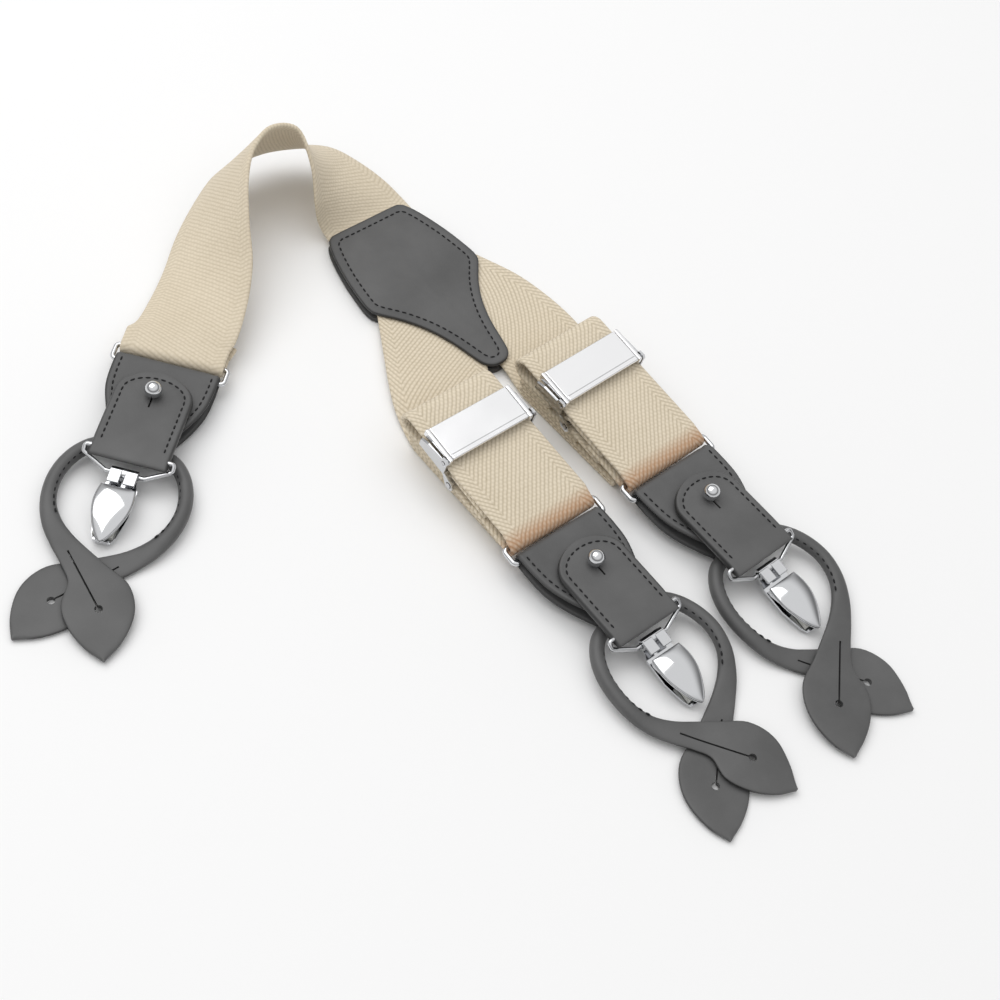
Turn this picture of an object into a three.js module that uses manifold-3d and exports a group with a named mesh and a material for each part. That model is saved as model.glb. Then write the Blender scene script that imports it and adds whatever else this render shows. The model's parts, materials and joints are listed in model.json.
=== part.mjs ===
// Convertible Y-back suspenders, laid out as they are stored: each front strap folded in a flat
// stack under its adjuster, the rear strap turned over on its edge. Millimetres, +Z up, +Y towards
// the wearer's back. The origin is on the crosspatch's underside, under its middle.
import * as THREE from 'three';
import { mergeVertices } from 'three/addons/utils/BufferGeometryUtils.js';
import Module from 'manifold-3d';

const wasm = await Module();
wasm.setup();

// Driving dimensions -------------------------------------------------------------------------
const GAP = 0.3;                 // air kept between pieces that touch
const WEB_WIDTH = 35;            // elastic webbing
const WEB_THICK = 1.6;
const LEATHER = 1.4;             // one ply of leather

const PATCH_TURN = 3;            // degrees that the crosspatch is turned on the straps
const PATCH_WEB_Z = LEATHER + GAP + WEB_THICK / 2;

const RING_WIRE = 0.9;           // radius of the ring's wire
const RING_HALF = 18.9;          // middle of the ring to the middle of its side leg
const RING_PITCH = 6;            // webbing bar to leather bar
const RING_CORNER = 1.4;
const WEB_BEND = RING_WIRE + GAP + WEB_THICK / 2;

const STACK_FLOOR = 0.9;         // middle of the lowest layer of a folded front strap
const STACK_STEP = 1.9;          // layer to layer
const TOP_SLOPE = 7.9;           // degrees that the top layer falls towards its ring
const TOP_RUN = 52;              // top layer, from its fold to its ring
const TOP_FOLD = 4;              // radius of the last, loose fold
const RETURN_RUN = 18.6;         // webbing that comes back under the top layer

const ADJUSTER_AT = 38.5;        // ring to the adjuster's middle, along the webbing
const ADJUSTER_HALF = 18.8;
const ADJUSTER_DEPTH = 13;
const SHEET_METAL = 1;
const END_BAR_Y = -10;           // bar that carries the strap's sewn end
const END_BAR_Z = -2 * WEB_BEND;
const END_TAIL = 16;             // length of the sewn end's two tails
const COVER_PIN_Y = -5;
const COVER_PIN_Z = 2.6;
const COVER_PIN_R = 0.65;
const COVER_HALF = 17.4;

const CORD_R = 2.4;              // rolled part of the button loop
const LEFT_ARM_OVER = 1;         // which arm of the button loop crosses on top
const RIGHT_ARM_OVER = -1;
const NECK_Y = -33;              // cord's place in the hanger's lower fold
const STUD_Y = -15;
const STUD_BORE = 1.9;           // hole for the stud in the leather
const STUD_SHANK = 1.6;
const STUD_FOOT = 3.8;
const STUD_FOOT_THICK = 0.8;
const STUD_BALL = 2.9;
const SCREW_BORE = 1.1;
const SCREW_SHANK = 0.75;
const HANGER_TILT = THREE.MathUtils.radToDeg(
  Math.asin((CORD_R - RING_WIRE) / -NECK_Y));
const TAB_HALF = 12.8;
const TAB_THICK = 2.6;
const TAB_TOP = 9.5;             // from the stud to the tab's round end
const TUNNEL_Y = -23.8;          // from the stud to the bail's tunnel
const TUNNEL_Z = 1.75;
const BAIL_WIRE = 0.75;
const BAIL_LENGTH = 6.7;
const BAIL_DROP = 33;            // degrees below the hanger's plane
const CLIP_DROP = 6;
const CLIP_STEEL = 0.8;
const CLIP_LENGTH = 24;
const CLIP_PIN_Y = -7.5;
const CLIP_PIN_Z = 0.6;
const CLIP_PIN_R = 0.6;

// Materials ----------------------------------------------------------------------------------
const finish = (color, roughness, metalness) =>
  new THREE.MeshStandardMaterial({ color, roughness, metalness });
const WEBBING = () => finish(0xdccfb0, 0.9, 0);
const LEATHER_GREY = () => finish(0x5e5e60, 0.6, 0);
const CHROME = () => finish(0xd8d9db, 0.12, 1);
const RUBBER = () => finish(0xb9b9b4, 0.6, 0);

// Geometry helpers ---------------------------------------------------------------------------
const rad = THREE.MathUtils.degToRad;
const vec = (x, y, z = 0) => new THREE.Vector3(x, y, z);

// Signed volume of a triangle mesh, negative when its faces point in.
function signedVolume(geometry) {
  const at = geometry.attributes.position;
  const index = geometry.index.array;
  const [a, b, c] = [vec(0, 0), vec(0, 0), vec(0, 0)];
  let total = 0;
  for (let i = 0; i < index.length; i += 3) {
    a.fromBufferAttribute(at, index[i]);
    b.fromBufferAttribute(at, index[i + 1]);
    c.fromBufferAttribute(at, index[i + 2]);
    total += a.dot(b.cross(c)) / 6;
  }
  return total;
}

// A closed skin over rings of points, all with the same number of points. An open run gets a fan
// of triangles over its first and last ring; a closed run joins the last ring to the first.
function loft(rings, closed = false) {
  const sides = rings[0].length;
  const points = rings.flat();
  const index = [];
  const spans = closed ? rings.length : rings.length - 1;
  for (let i = 0; i < spans; i += 1) {
    const next = (i + 1) % rings.length;
    for (let j = 0; j < sides; j += 1) {
      const k = (j + 1) % sides;
      const [a, b] = [i * sides + j, i * sides + k];
      const [c, d] = [next * sides + j, next * sides + k];
      index.push(a, b, c, b, d, c);
    }
  }
  if (!closed) {
    const last = (rings.length - 1) * sides;
    for (let j = 1; j < sides - 1; j += 1) {
      index.push(0, j + 1, j, last, last + j, last + j + 1);
    }
  }
  const geometry = new THREE.BufferGeometry().setFromPoints(points);
  geometry.setIndex(index);
  if (signedVolume(geometry) < 0) {
    for (let i = 0; i < index.length; i += 3) {
      [index[i], index[i + 1]] = [index[i + 1], index[i]];
    }
    geometry.setIndex(index);
  }
  return geometry;
}

function toSolid(geometry) {
  const bare = geometry.clone();
  bare.deleteAttribute('normal');
  bare.deleteAttribute('uv');
  const merged = mergeVertices(bare, 1e-4);
  return new wasm.Manifold(new wasm.Mesh({
    numProp: 3,
    vertProperties: new Float32Array(merged.attributes.position.array),
    triVerts: new Uint32Array(merged.index.array),
  }));
}

function toGeometry(solid) {
  const mesh = solid.getMesh();
  const geometry = new THREE.BufferGeometry();
  geometry.setAttribute('position', new THREE.BufferAttribute(mesh.vertProperties, 3));
  geometry.setIndex(new THREE.BufferAttribute(mesh.triVerts, 1));
  return geometry;
}

const unite = (...parts) =>
  toGeometry(parts.map(toSolid).reduce((sum, part) => sum.add(part)));
const cut = (base, ...tools) =>
  toGeometry(tools.map(toSolid).reduce((rest, tool) => rest.subtract(tool), toSolid(base)));
const meet = (a, b) => toGeometry(toSolid(a).intersect(toSolid(b)));

const shapeOf = (points) => new THREE.Shape(points.map(([x, y]) => new THREE.Vector2(x, y)));

// An outline in the XY plane, raised from z0 to z1.
function slab(shape, z0, z1, curveSegments = 6) {
  const geometry = new THREE.ExtrudeGeometry(shape, {
    depth: z1 - z0, bevelEnabled: false, curveSegments,
  });
  return geometry.translate(0, 0, z0);
}

// A side view drawn in (y, z), stretched along X from x0 to x1.
function sideways(shape, x0, x1, curveSegments = 6) {
  const geometry = slab(shape, x0, x1, curveSegments);
  return geometry.applyMatrix4(new THREE.Matrix4().makeBasis(
    vec(0, 1, 0), vec(0, 0, 1), vec(1, 0, 0)));
}

const block = (x0, x1, y0, y1, z0, z1) =>
  new THREE.BoxGeometry(x1 - x0, y1 - y0, z1 - z0)
    .translate((x0 + x1) / 2, (y0 + y1) / 2, (z0 + z1) / 2);

// A round rod along X.
const rod = (radius, x0, x1, y, z, sides = 12) =>
  new THREE.CylinderGeometry(radius, radius, x1 - x0, sides)
    .rotateZ(Math.PI / 2)
    .translate((x0 + x1) / 2, y, z);

// A symmetric outline from its right half, listed from top to bottom.
const mirrored = (half) =>
  [...half, ...half.slice().reverse().filter(([x]) => x > 0).map(([x, y]) => [-x, y])];

// A closed wire in the XY plane round a polygon's corners, each rounded to the bend radius.
function wireLoop(corners, bend, radius, sides = 8, cornerSteps = 3) {
  const spine = [];
  corners.forEach(([x, y], i) => {
    const here = new THREE.Vector2(x, y);
    const before = new THREE.Vector2(...corners.at(i - 1));
    const after = new THREE.Vector2(...corners[(i + 1) % corners.length]);
    const intoCorner = here.clone().sub(before).normalize();
    const outOfCorner = after.sub(here).normalize();
    const half = Math.acos(THREE.MathUtils.clamp(intoCorner.dot(outOfCorner), -1, 1)) / 2;
    const back = bend * Math.tan(half);
    const start = here.clone().addScaledVector(intoCorner, -back);
    const turn = Math.sign(intoCorner.cross(outOfCorner));
    const side = new THREE.Vector2(-intoCorner.y, intoCorner.x).multiplyScalar(turn * bend);
    const centre = start.clone().add(side);
    for (let step = 0; step <= cornerSteps; step += 1) {
      const angle = turn * 2 * half * step / cornerSteps;
      spine.push(start.clone().rotateAround(centre, angle));
    }
  });
  const rings = spine.map((point, i) => {
    const before = spine.at(i - 1);
    const after = spine[(i + 1) % spine.length];
    const along = after.clone().sub(before).normalize();
    const out = vec(along.y, -along.x);
    return Array.from({ length: sides }, (_, j) => {
      const angle = 2 * Math.PI * j / sides;
      return vec(point.x, point.y)
        .addScaledVector(out, radius * Math.cos(angle))
        .add(vec(0, 0, radius * Math.sin(angle)));
    });
  });
  return loft(rings, true);
}

// A flat strap through stations, each with the strap's middle and the direction of its width.
function strap(stations, width = WEB_WIDTH, thick = WEB_THICK) {
  const rings = stations.map(({ at, across }, i) => {
    const before = stations[Math.max(i - 1, 0)].at;
    const after = stations[Math.min(i + 1, stations.length - 1)].at;
    const along = after.clone().sub(before).normalize();
    const normal = along.cross(across).normalize();
    return [[1, 1], [-1, 1], [-1, -1], [1, -1]].map(([w, t]) => at.clone()
      .addScaledVector(across, w * width / 2)
      .addScaledVector(normal, t * thick / 2));
  });
  return loft(rings);
}

// Smooth stations through a few chosen ones.
function smoothStations(chosen, steps) {
  const middle = new THREE.CatmullRomCurve3(chosen.map(({ at }) => at));
  const width = new THREE.CatmullRomCurve3(chosen.map(({ across }) => across));
  return Array.from({ length: steps + 1 }, (_, i) => ({
    at: middle.getPoint(i / steps),
    across: width.getPoint(i / steps).normalize(),
  }));
}

// A pen that walks in a strap's own (y, z) side view. A positive turn lifts the heading from -Y.
function penAt(y, z, heading = 180) {
  const trail = [[y, z]];
  const pen = { trail, heading };
  pen.here = () => trail.at(-1);
  pen.go = (length) => {
    const [py, pz] = pen.here();
    const angle = rad(pen.heading);
    trail.push([py + length * Math.cos(angle), pz + length * Math.sin(angle)]);
    return pen;
  };
  pen.turn = (degrees, radius) => {
    const steps = Math.ceil(Math.abs(degrees) / 30);
    const stride = 2 * radius * Math.sin(rad(Math.abs(degrees)) / steps / 2);
    for (let i = 0; i < steps; i += 1) {
      pen.heading += degrees / steps / 2;
      pen.go(stride);
      pen.heading += degrees / steps / 2;
    }
    return pen;
  };
  return pen;
}

// Assembly -----------------------------------------------------------------------------------
const suspenders = new THREE.Group();

function addMesh(parent, name, geometry, material) {
  const mesh = new THREE.Mesh(geometry, material);
  mesh.name = name;
  parent.add(mesh);
  return mesh;
}

// A group at a place in its parent, turned about Z and then tipped about its own X.
function frameIn(parent, at, yaw = 0, pitch = 0) {
  const group = new THREE.Group();
  group.position.copy(at);
  group.rotation.set(rad(pitch), 0, rad(yaw), 'ZXY');
  parent.add(group);
  return group;
}

// Crosspatch ---------------------------------------------------------------------------------
const PATCH_HALF_OUTLINE = [
  [0, 38.6], [13, 38.6], [15.4, 38], [17, 36.6], [19.4, 31], [22.2, 20], [23.8, 9],
  [23.9, 4.5], [22.8, 1.5], [17, -5.6], [12.2, -13.6], [8.8, -22.6], [6.6, -32],
  [5.3, -36], [3, -38.2], [0, -38.8],
];

function addCrosspatch() {
  const patch = frameIn(suspenders, vec(0, 0), PATCH_TURN);
  const outline = shapeOf(mirrored(PATCH_HALF_OUTLINE));
  const front = PATCH_WEB_Z + WEB_THICK / 2 + GAP;
  addMesh(patch, 'crosspatch_back', slab(outline, 0, LEATHER), LEATHER_GREY());
  addMesh(patch, 'crosspatch_front', slab(outline, front, front + LEATHER), LEATHER_GREY());
}

// Front straps -------------------------------------------------------------------------------
// Each strap leaves the crosspatch in plan by hand-chosen points (x, y, z and its heading in
// degrees off -Y), runs under its stack, and is folded to and fro up to its top layer.
const STRAPS = {
  left: {
    ring: [-27.3, -102],
    yaw: 2.5,
    lean: 0.24,
    side: -1,
    crossing: LEFT_ARM_OVER,
    leaving: [
      [0.3, 6, PATCH_WEB_Z, -27.5], [-6.6, -7.2, PATCH_WEB_Z, -27.5],
      [-13.5, -20.6, PATCH_WEB_Z, -27.5], [-19.6, -32.4, PATCH_WEB_Z, -26],
      [-23.6, -41.6, 1.9, -17], [-25.4, -48.5, 0.95, -4],
    ],
  },
  right: {
    ring: [20.6, -102],
    yaw: 4,
    lean: 0.14,
    side: 1,
    crossing: RIGHT_ARM_OVER,
    leaving: [
      [4.6, 8, PATCH_WEB_Z, 27], [11.4, -4.9, PATCH_WEB_Z, 26],
      [15.8, -14, PATCH_WEB_Z, 19], [18.5, -24.5, PATCH_WEB_Z, 9],
      [19.6, -33, PATCH_WEB_Z, 3], [19.8, -40, 2.2, 2], [19.4, -47.5, 1, 3],
    ],
  },
};

// The folded part in the strap's own side view: y from its ring, z from the floor.
function foldedTrail() {
  const half = STACK_STEP / 2;
  const pen = penAt(49, STACK_FLOOR);
  pen.go(44).turn(-180, half).go(45).turn(180, half);
  pen.go(26).turn(-180, half).go(26).turn(180, half);
  pen.go(12).turn(-180, half).go(12).turn(180 + TOP_SLOPE, TOP_FOLD);
  pen.go(TOP_RUN);
  const [y, z] = pen.here();
  const slope = rad(TOP_SLOPE);
  const bar = [y + WEB_BEND * Math.sin(slope), z - WEB_BEND * Math.cos(slope)];
  pen.turn(180, WEB_BEND).go(RETURN_RUN);
  return { trail: pen.trail, bar };
}

const FOLDED = foldedTrail();
const STATIONS_PAST_TOP_RUN = 8; // the top run's end, round the ring's bar, and the return
const TOP_Z = Math.max(...FOLDED.trail.map(([, z]) => z));

// Where a front strap's ring bar sits.
function ringBar({ ring }) {
  return vec(ring[0], ring[1], FOLDED.bar[1]);
}

function frontStrapStations({ ring, yaw, lean, leaving }) {
  const across = vec(Math.cos(rad(yaw)), Math.sin(rad(yaw)));
  const up = vec(-Math.sin(rad(yaw)), Math.cos(rad(yaw)));
  const arrive = leaving.map(([x, y, z, heading]) => ({
    at: vec(x, y, z),
    across: vec(Math.cos(rad(heading)), Math.sin(rad(heading))),
  }));
  const folded = FOLDED.trail.map(([y, z], i) => {
    const onStack = i < FOLDED.trail.length - STATIONS_PAST_TOP_RUN;
    const shift = onStack ? lean * Math.max(TOP_Z - 3 - z, 0) : 0;
    return {
      at: vec(ring[0], ring[1], z)
        .addScaledVector(up, y - FOLDED.bar[0])
        .addScaledVector(across, shift),
      across,
    };
  });
  return [...smoothStations([...arrive, ...folded.slice(0, 1)], 18), ...folded.slice(1)];
}

function addFrontStrap(name, spec) {
  const webbing = strap(frontStrapStations(spec));
  const inner = spec.side * 0.15;
  const beyond = -spec.side * 60;
  const mitre = block(Math.min(inner, beyond), Math.max(inner, beyond), -30, 60, -1, 9)
    .rotateZ(rad(PATCH_TURN));
  addMesh(suspenders, `${name}_strap`, cut(webbing, mitre), WEBBING());
}

// Rear strap ---------------------------------------------------------------------------------
// It leaves the crosspatch flat, stands up on one edge round the bend and lies down again at its
// ring. Each station gives the two edges of the webbing, the inner one and the outer one.
const REAR_RING = vec(-92.9, 17.6, 5.6);
const REAR_YAW = -48.2;
const REAR_SLOPE = 2;
const REAR_EDGES = [
  [[-17.4, 26, 2.5], [17.6, 26, 2.5]],
  [[-17.4, 34, 2.5], [17.6, 34.8, 2.5]],
  [[-17.4, 38.2, 2.5], [17.6, 39.8, 2.5]],
  [[-17.7, 40.6, 3.8], [17, 43, 3.1]],
  [[-18.5, 42.8, 8.4], [14.6, 49, 5.4]],
  [[-19.6, 44.4, 17], [9.8, 59.6, 8.6]],
  [[-18.4, 50, 29], [2.8, 70.4, 10.4]],
  [[-18.2, 60.3, 38.1], [-12, 79, 9.2]],
  [[-26.4, 63.9, 39.7], [-25.2, 80.8, 9]],
  [[-35.8, 60, 37.6], [-38.6, 79, 8.1]],
  [[-42.9, 52.6, 33.8], [-49.6, 73.4, 6.6]],
  [[-49.6, 41, 26.5], [-63.3, 64, 4.2]],
  [[-54.8, 30, 18.8], [-75, 53.4, 2.6]],
  [[-63, 19.6, 13], [-86, 44.4, 3]],
  [[-73.2, 10.2, 9.4], [-96, 36.7, 5.4]],
];
const REAR_END = 6;              // flat webbing just before the rear ring
const REAR_TURN_UP = 15;         // webbing sewn back under itself

function rearStrapStations() {
  const chosen = REAR_EDGES.map(([inner, outer]) => {
    const a = vec(...inner);
    const b = vec(...outer);
    return { at: a.clone().add(b).multiplyScalar(0.5), across: a.sub(b).normalize() };
  });
  const ringFrame = new THREE.Matrix4()
    .makeRotationFromEuler(new THREE.Euler(rad(REAR_SLOPE), 0, rad(REAR_YAW), 'ZXY'))
    .setPosition(REAR_RING);
  const across = vec(1, 0).transformDirection(ringFrame);
  const end = penAt(REAR_END, WEB_BEND).go(REAR_END).turn(180, WEB_BEND).go(REAR_TURN_UP)
    .trail.map(([y, z]) => ({ at: vec(0, y, z).applyMatrix4(ringFrame), across }));
  return [...smoothStations([...chosen, end[0]], 44), ...end.slice(1)];
}

// Adjuster -----------------------------------------------------------------------------------
// Its frame sits on the middle of the top layer: X across the webbing, Y up it, Z out of it.
function addAdjuster(name, ring, yaw) {
  const top = frameIn(suspenders, ring, yaw, TOP_SLOPE);
  const adjuster = frameIn(top, vec(0, ADJUSTER_AT, WEB_BEND));
  const half = ADJUSTER_DEPTH / 2;
  const inside = ADJUSTER_HALF - SHEET_METAL + 0.1;
  const plateTop = -WEB_THICK / 2 - 0.4;
  const cheek = shapeOf([
    [half, plateTop - SHEET_METAL], [half, 0.9], [3.4, 2], [COVER_PIN_Y + 2, 2.6],
    [COVER_PIN_Y + 1.3, 3.9], [COVER_PIN_Y - 0.8, 4.1], [-half, 3.2],
    [-half, plateTop - 0.6], [END_BAR_Y - 1.2, END_BAR_Z + 1.2],
    [END_BAR_Y - 2, END_BAR_Z - 0.6], [END_BAR_Y - 1, END_BAR_Z - 1.9],
    [END_BAR_Y + 1.4, END_BAR_Z - 1.6], [-half + 0.4, plateTop - SHEET_METAL],
  ]);
  const frame = unite(
    block(-inside - 0.1, inside + 0.1, -half, half, plateTop - SHEET_METAL, plateTop),
    sideways(cheek, inside, ADJUSTER_HALF), sideways(cheek, -ADJUSTER_HALF, -inside));
  const bores = [
    rod(COVER_PIN_R + GAP, -20, 20, COVER_PIN_Y, COVER_PIN_Z),
    rod(RING_WIRE + GAP, -20, 20, END_BAR_Y, END_BAR_Z),
  ];
  addMesh(adjuster, `${name}_adjuster_frame`, cut(frame, ...bores), CHROME());
  addMesh(adjuster, `${name}_adjuster_bar`,
    rod(RING_WIRE, -ADJUSTER_HALF - 0.2, ADJUSTER_HALF + 0.2, END_BAR_Y, END_BAR_Z), CHROME());
  addMesh(adjuster, `${name}_cover_pin`,
    rod(COVER_PIN_R, -ADJUSTER_HALF - 0.1, ADJUSTER_HALF + 0.1, COVER_PIN_Y, COVER_PIN_Z),
    CHROME());

  const ear = new THREE.Shape().absarc(COVER_PIN_Y, COVER_PIN_Z, 1.3, Math.PI, 2 * Math.PI);
  ear.lineTo(COVER_PIN_Y + 1.3, 3.5).lineTo(COVER_PIN_Y - 1.3, 3.5);
  const teeth = shapeOf([[-3.4, 3.5], [-2.9, 1.2], [-2.1, 1.2], [-1.6, 3.5]]);
  const cover = unite(
    block(-COVER_HALF, COVER_HALF, COVER_PIN_Y - 1.2, half + 0.6, 3.3, 4.1),
    sideways(ear, COVER_HALF - 1, COVER_HALF), sideways(ear, -COVER_HALF, 1 - COVER_HALF),
    sideways(teeth, -14, 14));
  addMesh(adjuster, `${name}_adjuster_cover`, cut(cover, bores[0]), CHROME());

  const tails = penAt(END_BAR_Y - END_TAIL, END_BAR_Z + WEB_BEND, 0)
    .go(END_TAIL).turn(-180, WEB_BEND).go(END_TAIL).trail
    .map(([y, z]) => ({ at: vec(0, y, z), across: vec(1, 0) }));
  addMesh(adjuster, `${name}_strap_end`, strap(tails, WEB_WIDTH - 0.6), WEBBING());
}

// Leather end with its ring, stud, clip tab, clip and button loop ------------------------------
// Its frame starts on the ring's webbing bar: X across, Y back up the webbing, Z out.
const HANGER_HALF_OUTLINE = [
  [17.2, 5], [17.4, -4], [16.6, -13], [14, -20.5], [10.4, -27.5], [8.2, -31.5], [7.8, -40],
];

function hangerGeometry() {
  const topInner = RING_WIRE + GAP;
  const neckInner = CORD_R + GAP;
  const tilt = rad(HANGER_TILT);
  const side = (grow) => {
    const shape = new THREE.Shape();
    shape.absarc(0, 0, topInner + grow, -Math.PI / 2 - tilt, Math.PI / 2 + tilt, false);
    shape.absarc(NECK_Y, 0, neckInner + grow, Math.PI / 2 + tilt, 1.5 * Math.PI - tilt, false);
    return shape;
  };
  const belt = cut(sideways(side(LEATHER), -19, 19, 8), sideways(side(0), -20, 20, 8));
  const outline = shapeOf(mirrored(HANGER_HALF_OUTLINE));
  return meet(belt, slab(outline, -8, 8));
}

function tabGeometry() {
  const outline = new THREE.Shape();
  const round = 7.5;
  outline.moveTo(-TAB_HALF, -28).lineTo(TAB_HALF, -28).lineTo(TAB_HALF, TAB_TOP - round - 3);
  outline.bezierCurveTo(TAB_HALF, TAB_TOP - 3, round, TAB_TOP, 0, TAB_TOP);
  outline.bezierCurveTo(-round, TAB_TOP, -TAB_HALF, TAB_TOP - 3, -TAB_HALF, TAB_TOP - round - 3);
  const knuckle = BAIL_WIRE + GAP + 1.15;
  const side = new THREE.Shape();
  side.moveTo(12, GAP + TAB_THICK).lineTo(TUNNEL_Y + 2, GAP + TAB_THICK);
  side.absarc(TUNNEL_Y, TUNNEL_Z, knuckle, 0.45, 2 * Math.PI - 0.7, false);
  side.lineTo(12, GAP);
  const keyhole = unite(
    new THREE.CylinderGeometry(STUD_BORE, STUD_BORE, 12, 12).rotateX(Math.PI / 2),
    block(-0.4, 0.4, -7.5, 0, -6, 6));
  const body = meet(sideways(side, -15, 15), slab(outline, -8, 8));
  return cut(body, keyhole, rod(BAIL_WIRE + GAP, -20, 20, TUNNEL_Y, TUNNEL_Z));
}

function studGeometry() {
  const under = -LEATHER - GAP;
  const head = GAP * 2 + TAB_THICK;
  const ball = new THREE.Path()
    .absarc(0, head + 2.5, STUD_BALL, Math.PI / 2, -Math.PI / 3.4, true)
    .getPoints(5).slice(1).map(({ x, y }) => [x, y]);
  const foot = under - STUD_FOOT_THICK;
  const profile = [
    [0, head + 2.5 + STUD_BALL], ...ball, [STUD_SHANK, head + 0.1], [STUD_SHANK, under],
    [STUD_FOOT, under], [STUD_FOOT, foot], [SCREW_BORE, foot], [SCREW_BORE, head], [0, head],
  ].map(([x, y]) => new THREE.Vector2(x, y));
  return new THREE.LatheGeometry(profile.reverse(), 12).rotateX(Math.PI / 2);
}

function studScrewGeometry() {
  const under = -LEATHER - 2 * GAP - STUD_FOOT_THICK;
  const profile = [
    [0, 2.6], [SCREW_SHANK, 2.2], [SCREW_SHANK, under], [2.6, under], [2.3, under - 0.9], [0, under - 1],
  ].map(([x, y]) => new THREE.Vector2(x, y));
  return new THREE.LatheGeometry(profile.reverse(), 10).rotateX(Math.PI / 2);
}

const CLIP_PLATE_HALF_OUTLINE = [
  [4.4, 0.5], [4.4, -2.6], [5.4, -4.5], [5.4, -14], [3.9, -21.5], [2.6, -CLIP_LENGTH],
];
const CLIP_EAR_X = 3.6;

function clipPlateGeometry() {
  const inner = BAIL_WIRE + GAP;
  const outer = inner + CLIP_STEEL;
  const roll = new THREE.Shape().absarc(0, 0, outer, 0, 2 * Math.PI);
  const plate = slab(shapeOf(mirrored(CLIP_PLATE_HALF_OUTLINE)), -outer, -inner);
  const ear = new THREE.Shape().absarc(CLIP_PIN_Y, CLIP_PIN_Z, 1.35, 0, Math.PI);
  ear.lineTo(CLIP_PIN_Y - 1.35, -outer + 0.1).lineTo(CLIP_PIN_Y + 1.35, -outer + 0.1);
  const lip = block(-2.6, 2.6, -CLIP_LENGTH, CLIP_STEEL - CLIP_LENGTH, -outer, 0);
  const body = unite(
    sideways(roll, -4.4, 4.4, 16), plate, lip,
    sideways(ear, CLIP_EAR_X, CLIP_EAR_X + CLIP_STEEL, 4),
    sideways(ear, -CLIP_EAR_X - CLIP_STEEL, -CLIP_EAR_X, 4));
  return cut(body, rod(inner, -8, 8, 0, 0), rod(CLIP_PIN_R + GAP, -8, 8, CLIP_PIN_Y, CLIP_PIN_Z));
}

const LEVER_HALF_OUTLINE = [
  [5.3, -5.9], [6.1, -8], [6.6, -11], [6.3, -15], [5.2, -19], [3.5, -22.6], [2, -24.4],
  [0, -25],
];

function clipLeverGeometry() {
  const cap = slab(shapeOf(mirrored(LEVER_HALF_OUTLINE)), 2.1, 2.9);
  const skirt = shapeOf([
    [-6.2, 2.5], [-6.2, 0.9], [-6.6, -0.2], [-7.5, -0.75], [-8.6, -0.4], [-12, 0.9],
    [-15.5, 2.5],
  ]);
  const [near, far] = [CLIP_EAR_X + CLIP_STEEL + GAP, CLIP_EAR_X + CLIP_STEEL + GAP + 0.7];
  const body = unite(cap, sideways(skirt, near, far), sideways(skirt, -far, -near));
  return cut(body, rod(CLIP_PIN_R + GAP, -8, 8, CLIP_PIN_Y, CLIP_PIN_Z));
}

// The button loop's right arm, from the neck to the leaf on the left: x, y, the height's blend
// from the neck's plane to the ground, half width, half thickness, height above the ground.
const ARM_ROUTE = [
  [0, -33, 0, 2.4, 2.4, 0], [8.2, -33, 0, 2.4, 2.4, 0], [13, -34.5, 0, 2.4, 2.4, 0],
  [17.2, -38.8, 0, 2.4, 2.4, 0], [20, -45, 0, 2.4, 2.4, 0], [20.9, -52, 0, 2.4, 2.4, 0],
  [19.6, -59.5, 0, 2.6, 2.2, 0], [16.2, -66, 0.35, 3.2, 1.7, 1.4], [11, -71.6, 0.85, 4.2, 1.15, 1.3],
  [5.4, -76.2, 1, 5.3, 0.9, 1.1], [-0.2, -81, 1, 6.6, 0.9, 1.1], [-4.4, -86.4, 1, 9, 0.9, 1.1],
  [-7.4, -92, 1, 10.6, 0.9, 1.1], [-10, -98, 1, 9.6, 0.9, 1.1],
  [-12.4, -103.6, 1, 5.6, 0.9, 1.1], [-14, -107.4, 1, 0.9, 0.8, 1.1],
];
const OVER_LIFT = 2.15;          // upper arm above the lower one where they cross
const LEAF_HOLE = 1.6;
const LOOP_SIDES = 8;

// Height of the ground in a leather end's own frame, at a distance down it.
function groundUnder(barHeight, pitch, y) {
  return (-barHeight - y * Math.sin(rad(pitch))) / Math.cos(rad(pitch));
}

function loopStation(row, over, { barHeight, pitch, sway, crossing }) {
  const [x, y, blend, half, thick, lift] = row;
  const swing = sway * THREE.MathUtils.smoothstep(-y, 48, 108);
  const tip = THREE.MathUtils.smoothstep(-y, 92, 108);
  const raise = over ? OVER_LIFT * (1 - 0.75 * tip) : 0;
  const flat = groundUnder(barHeight, pitch, y) + lift + raise;
  return {
    at: vec(crossing * (over ? -x : x) + swing, y, blend * flat),
    half,
    thick,
  };
}

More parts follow.
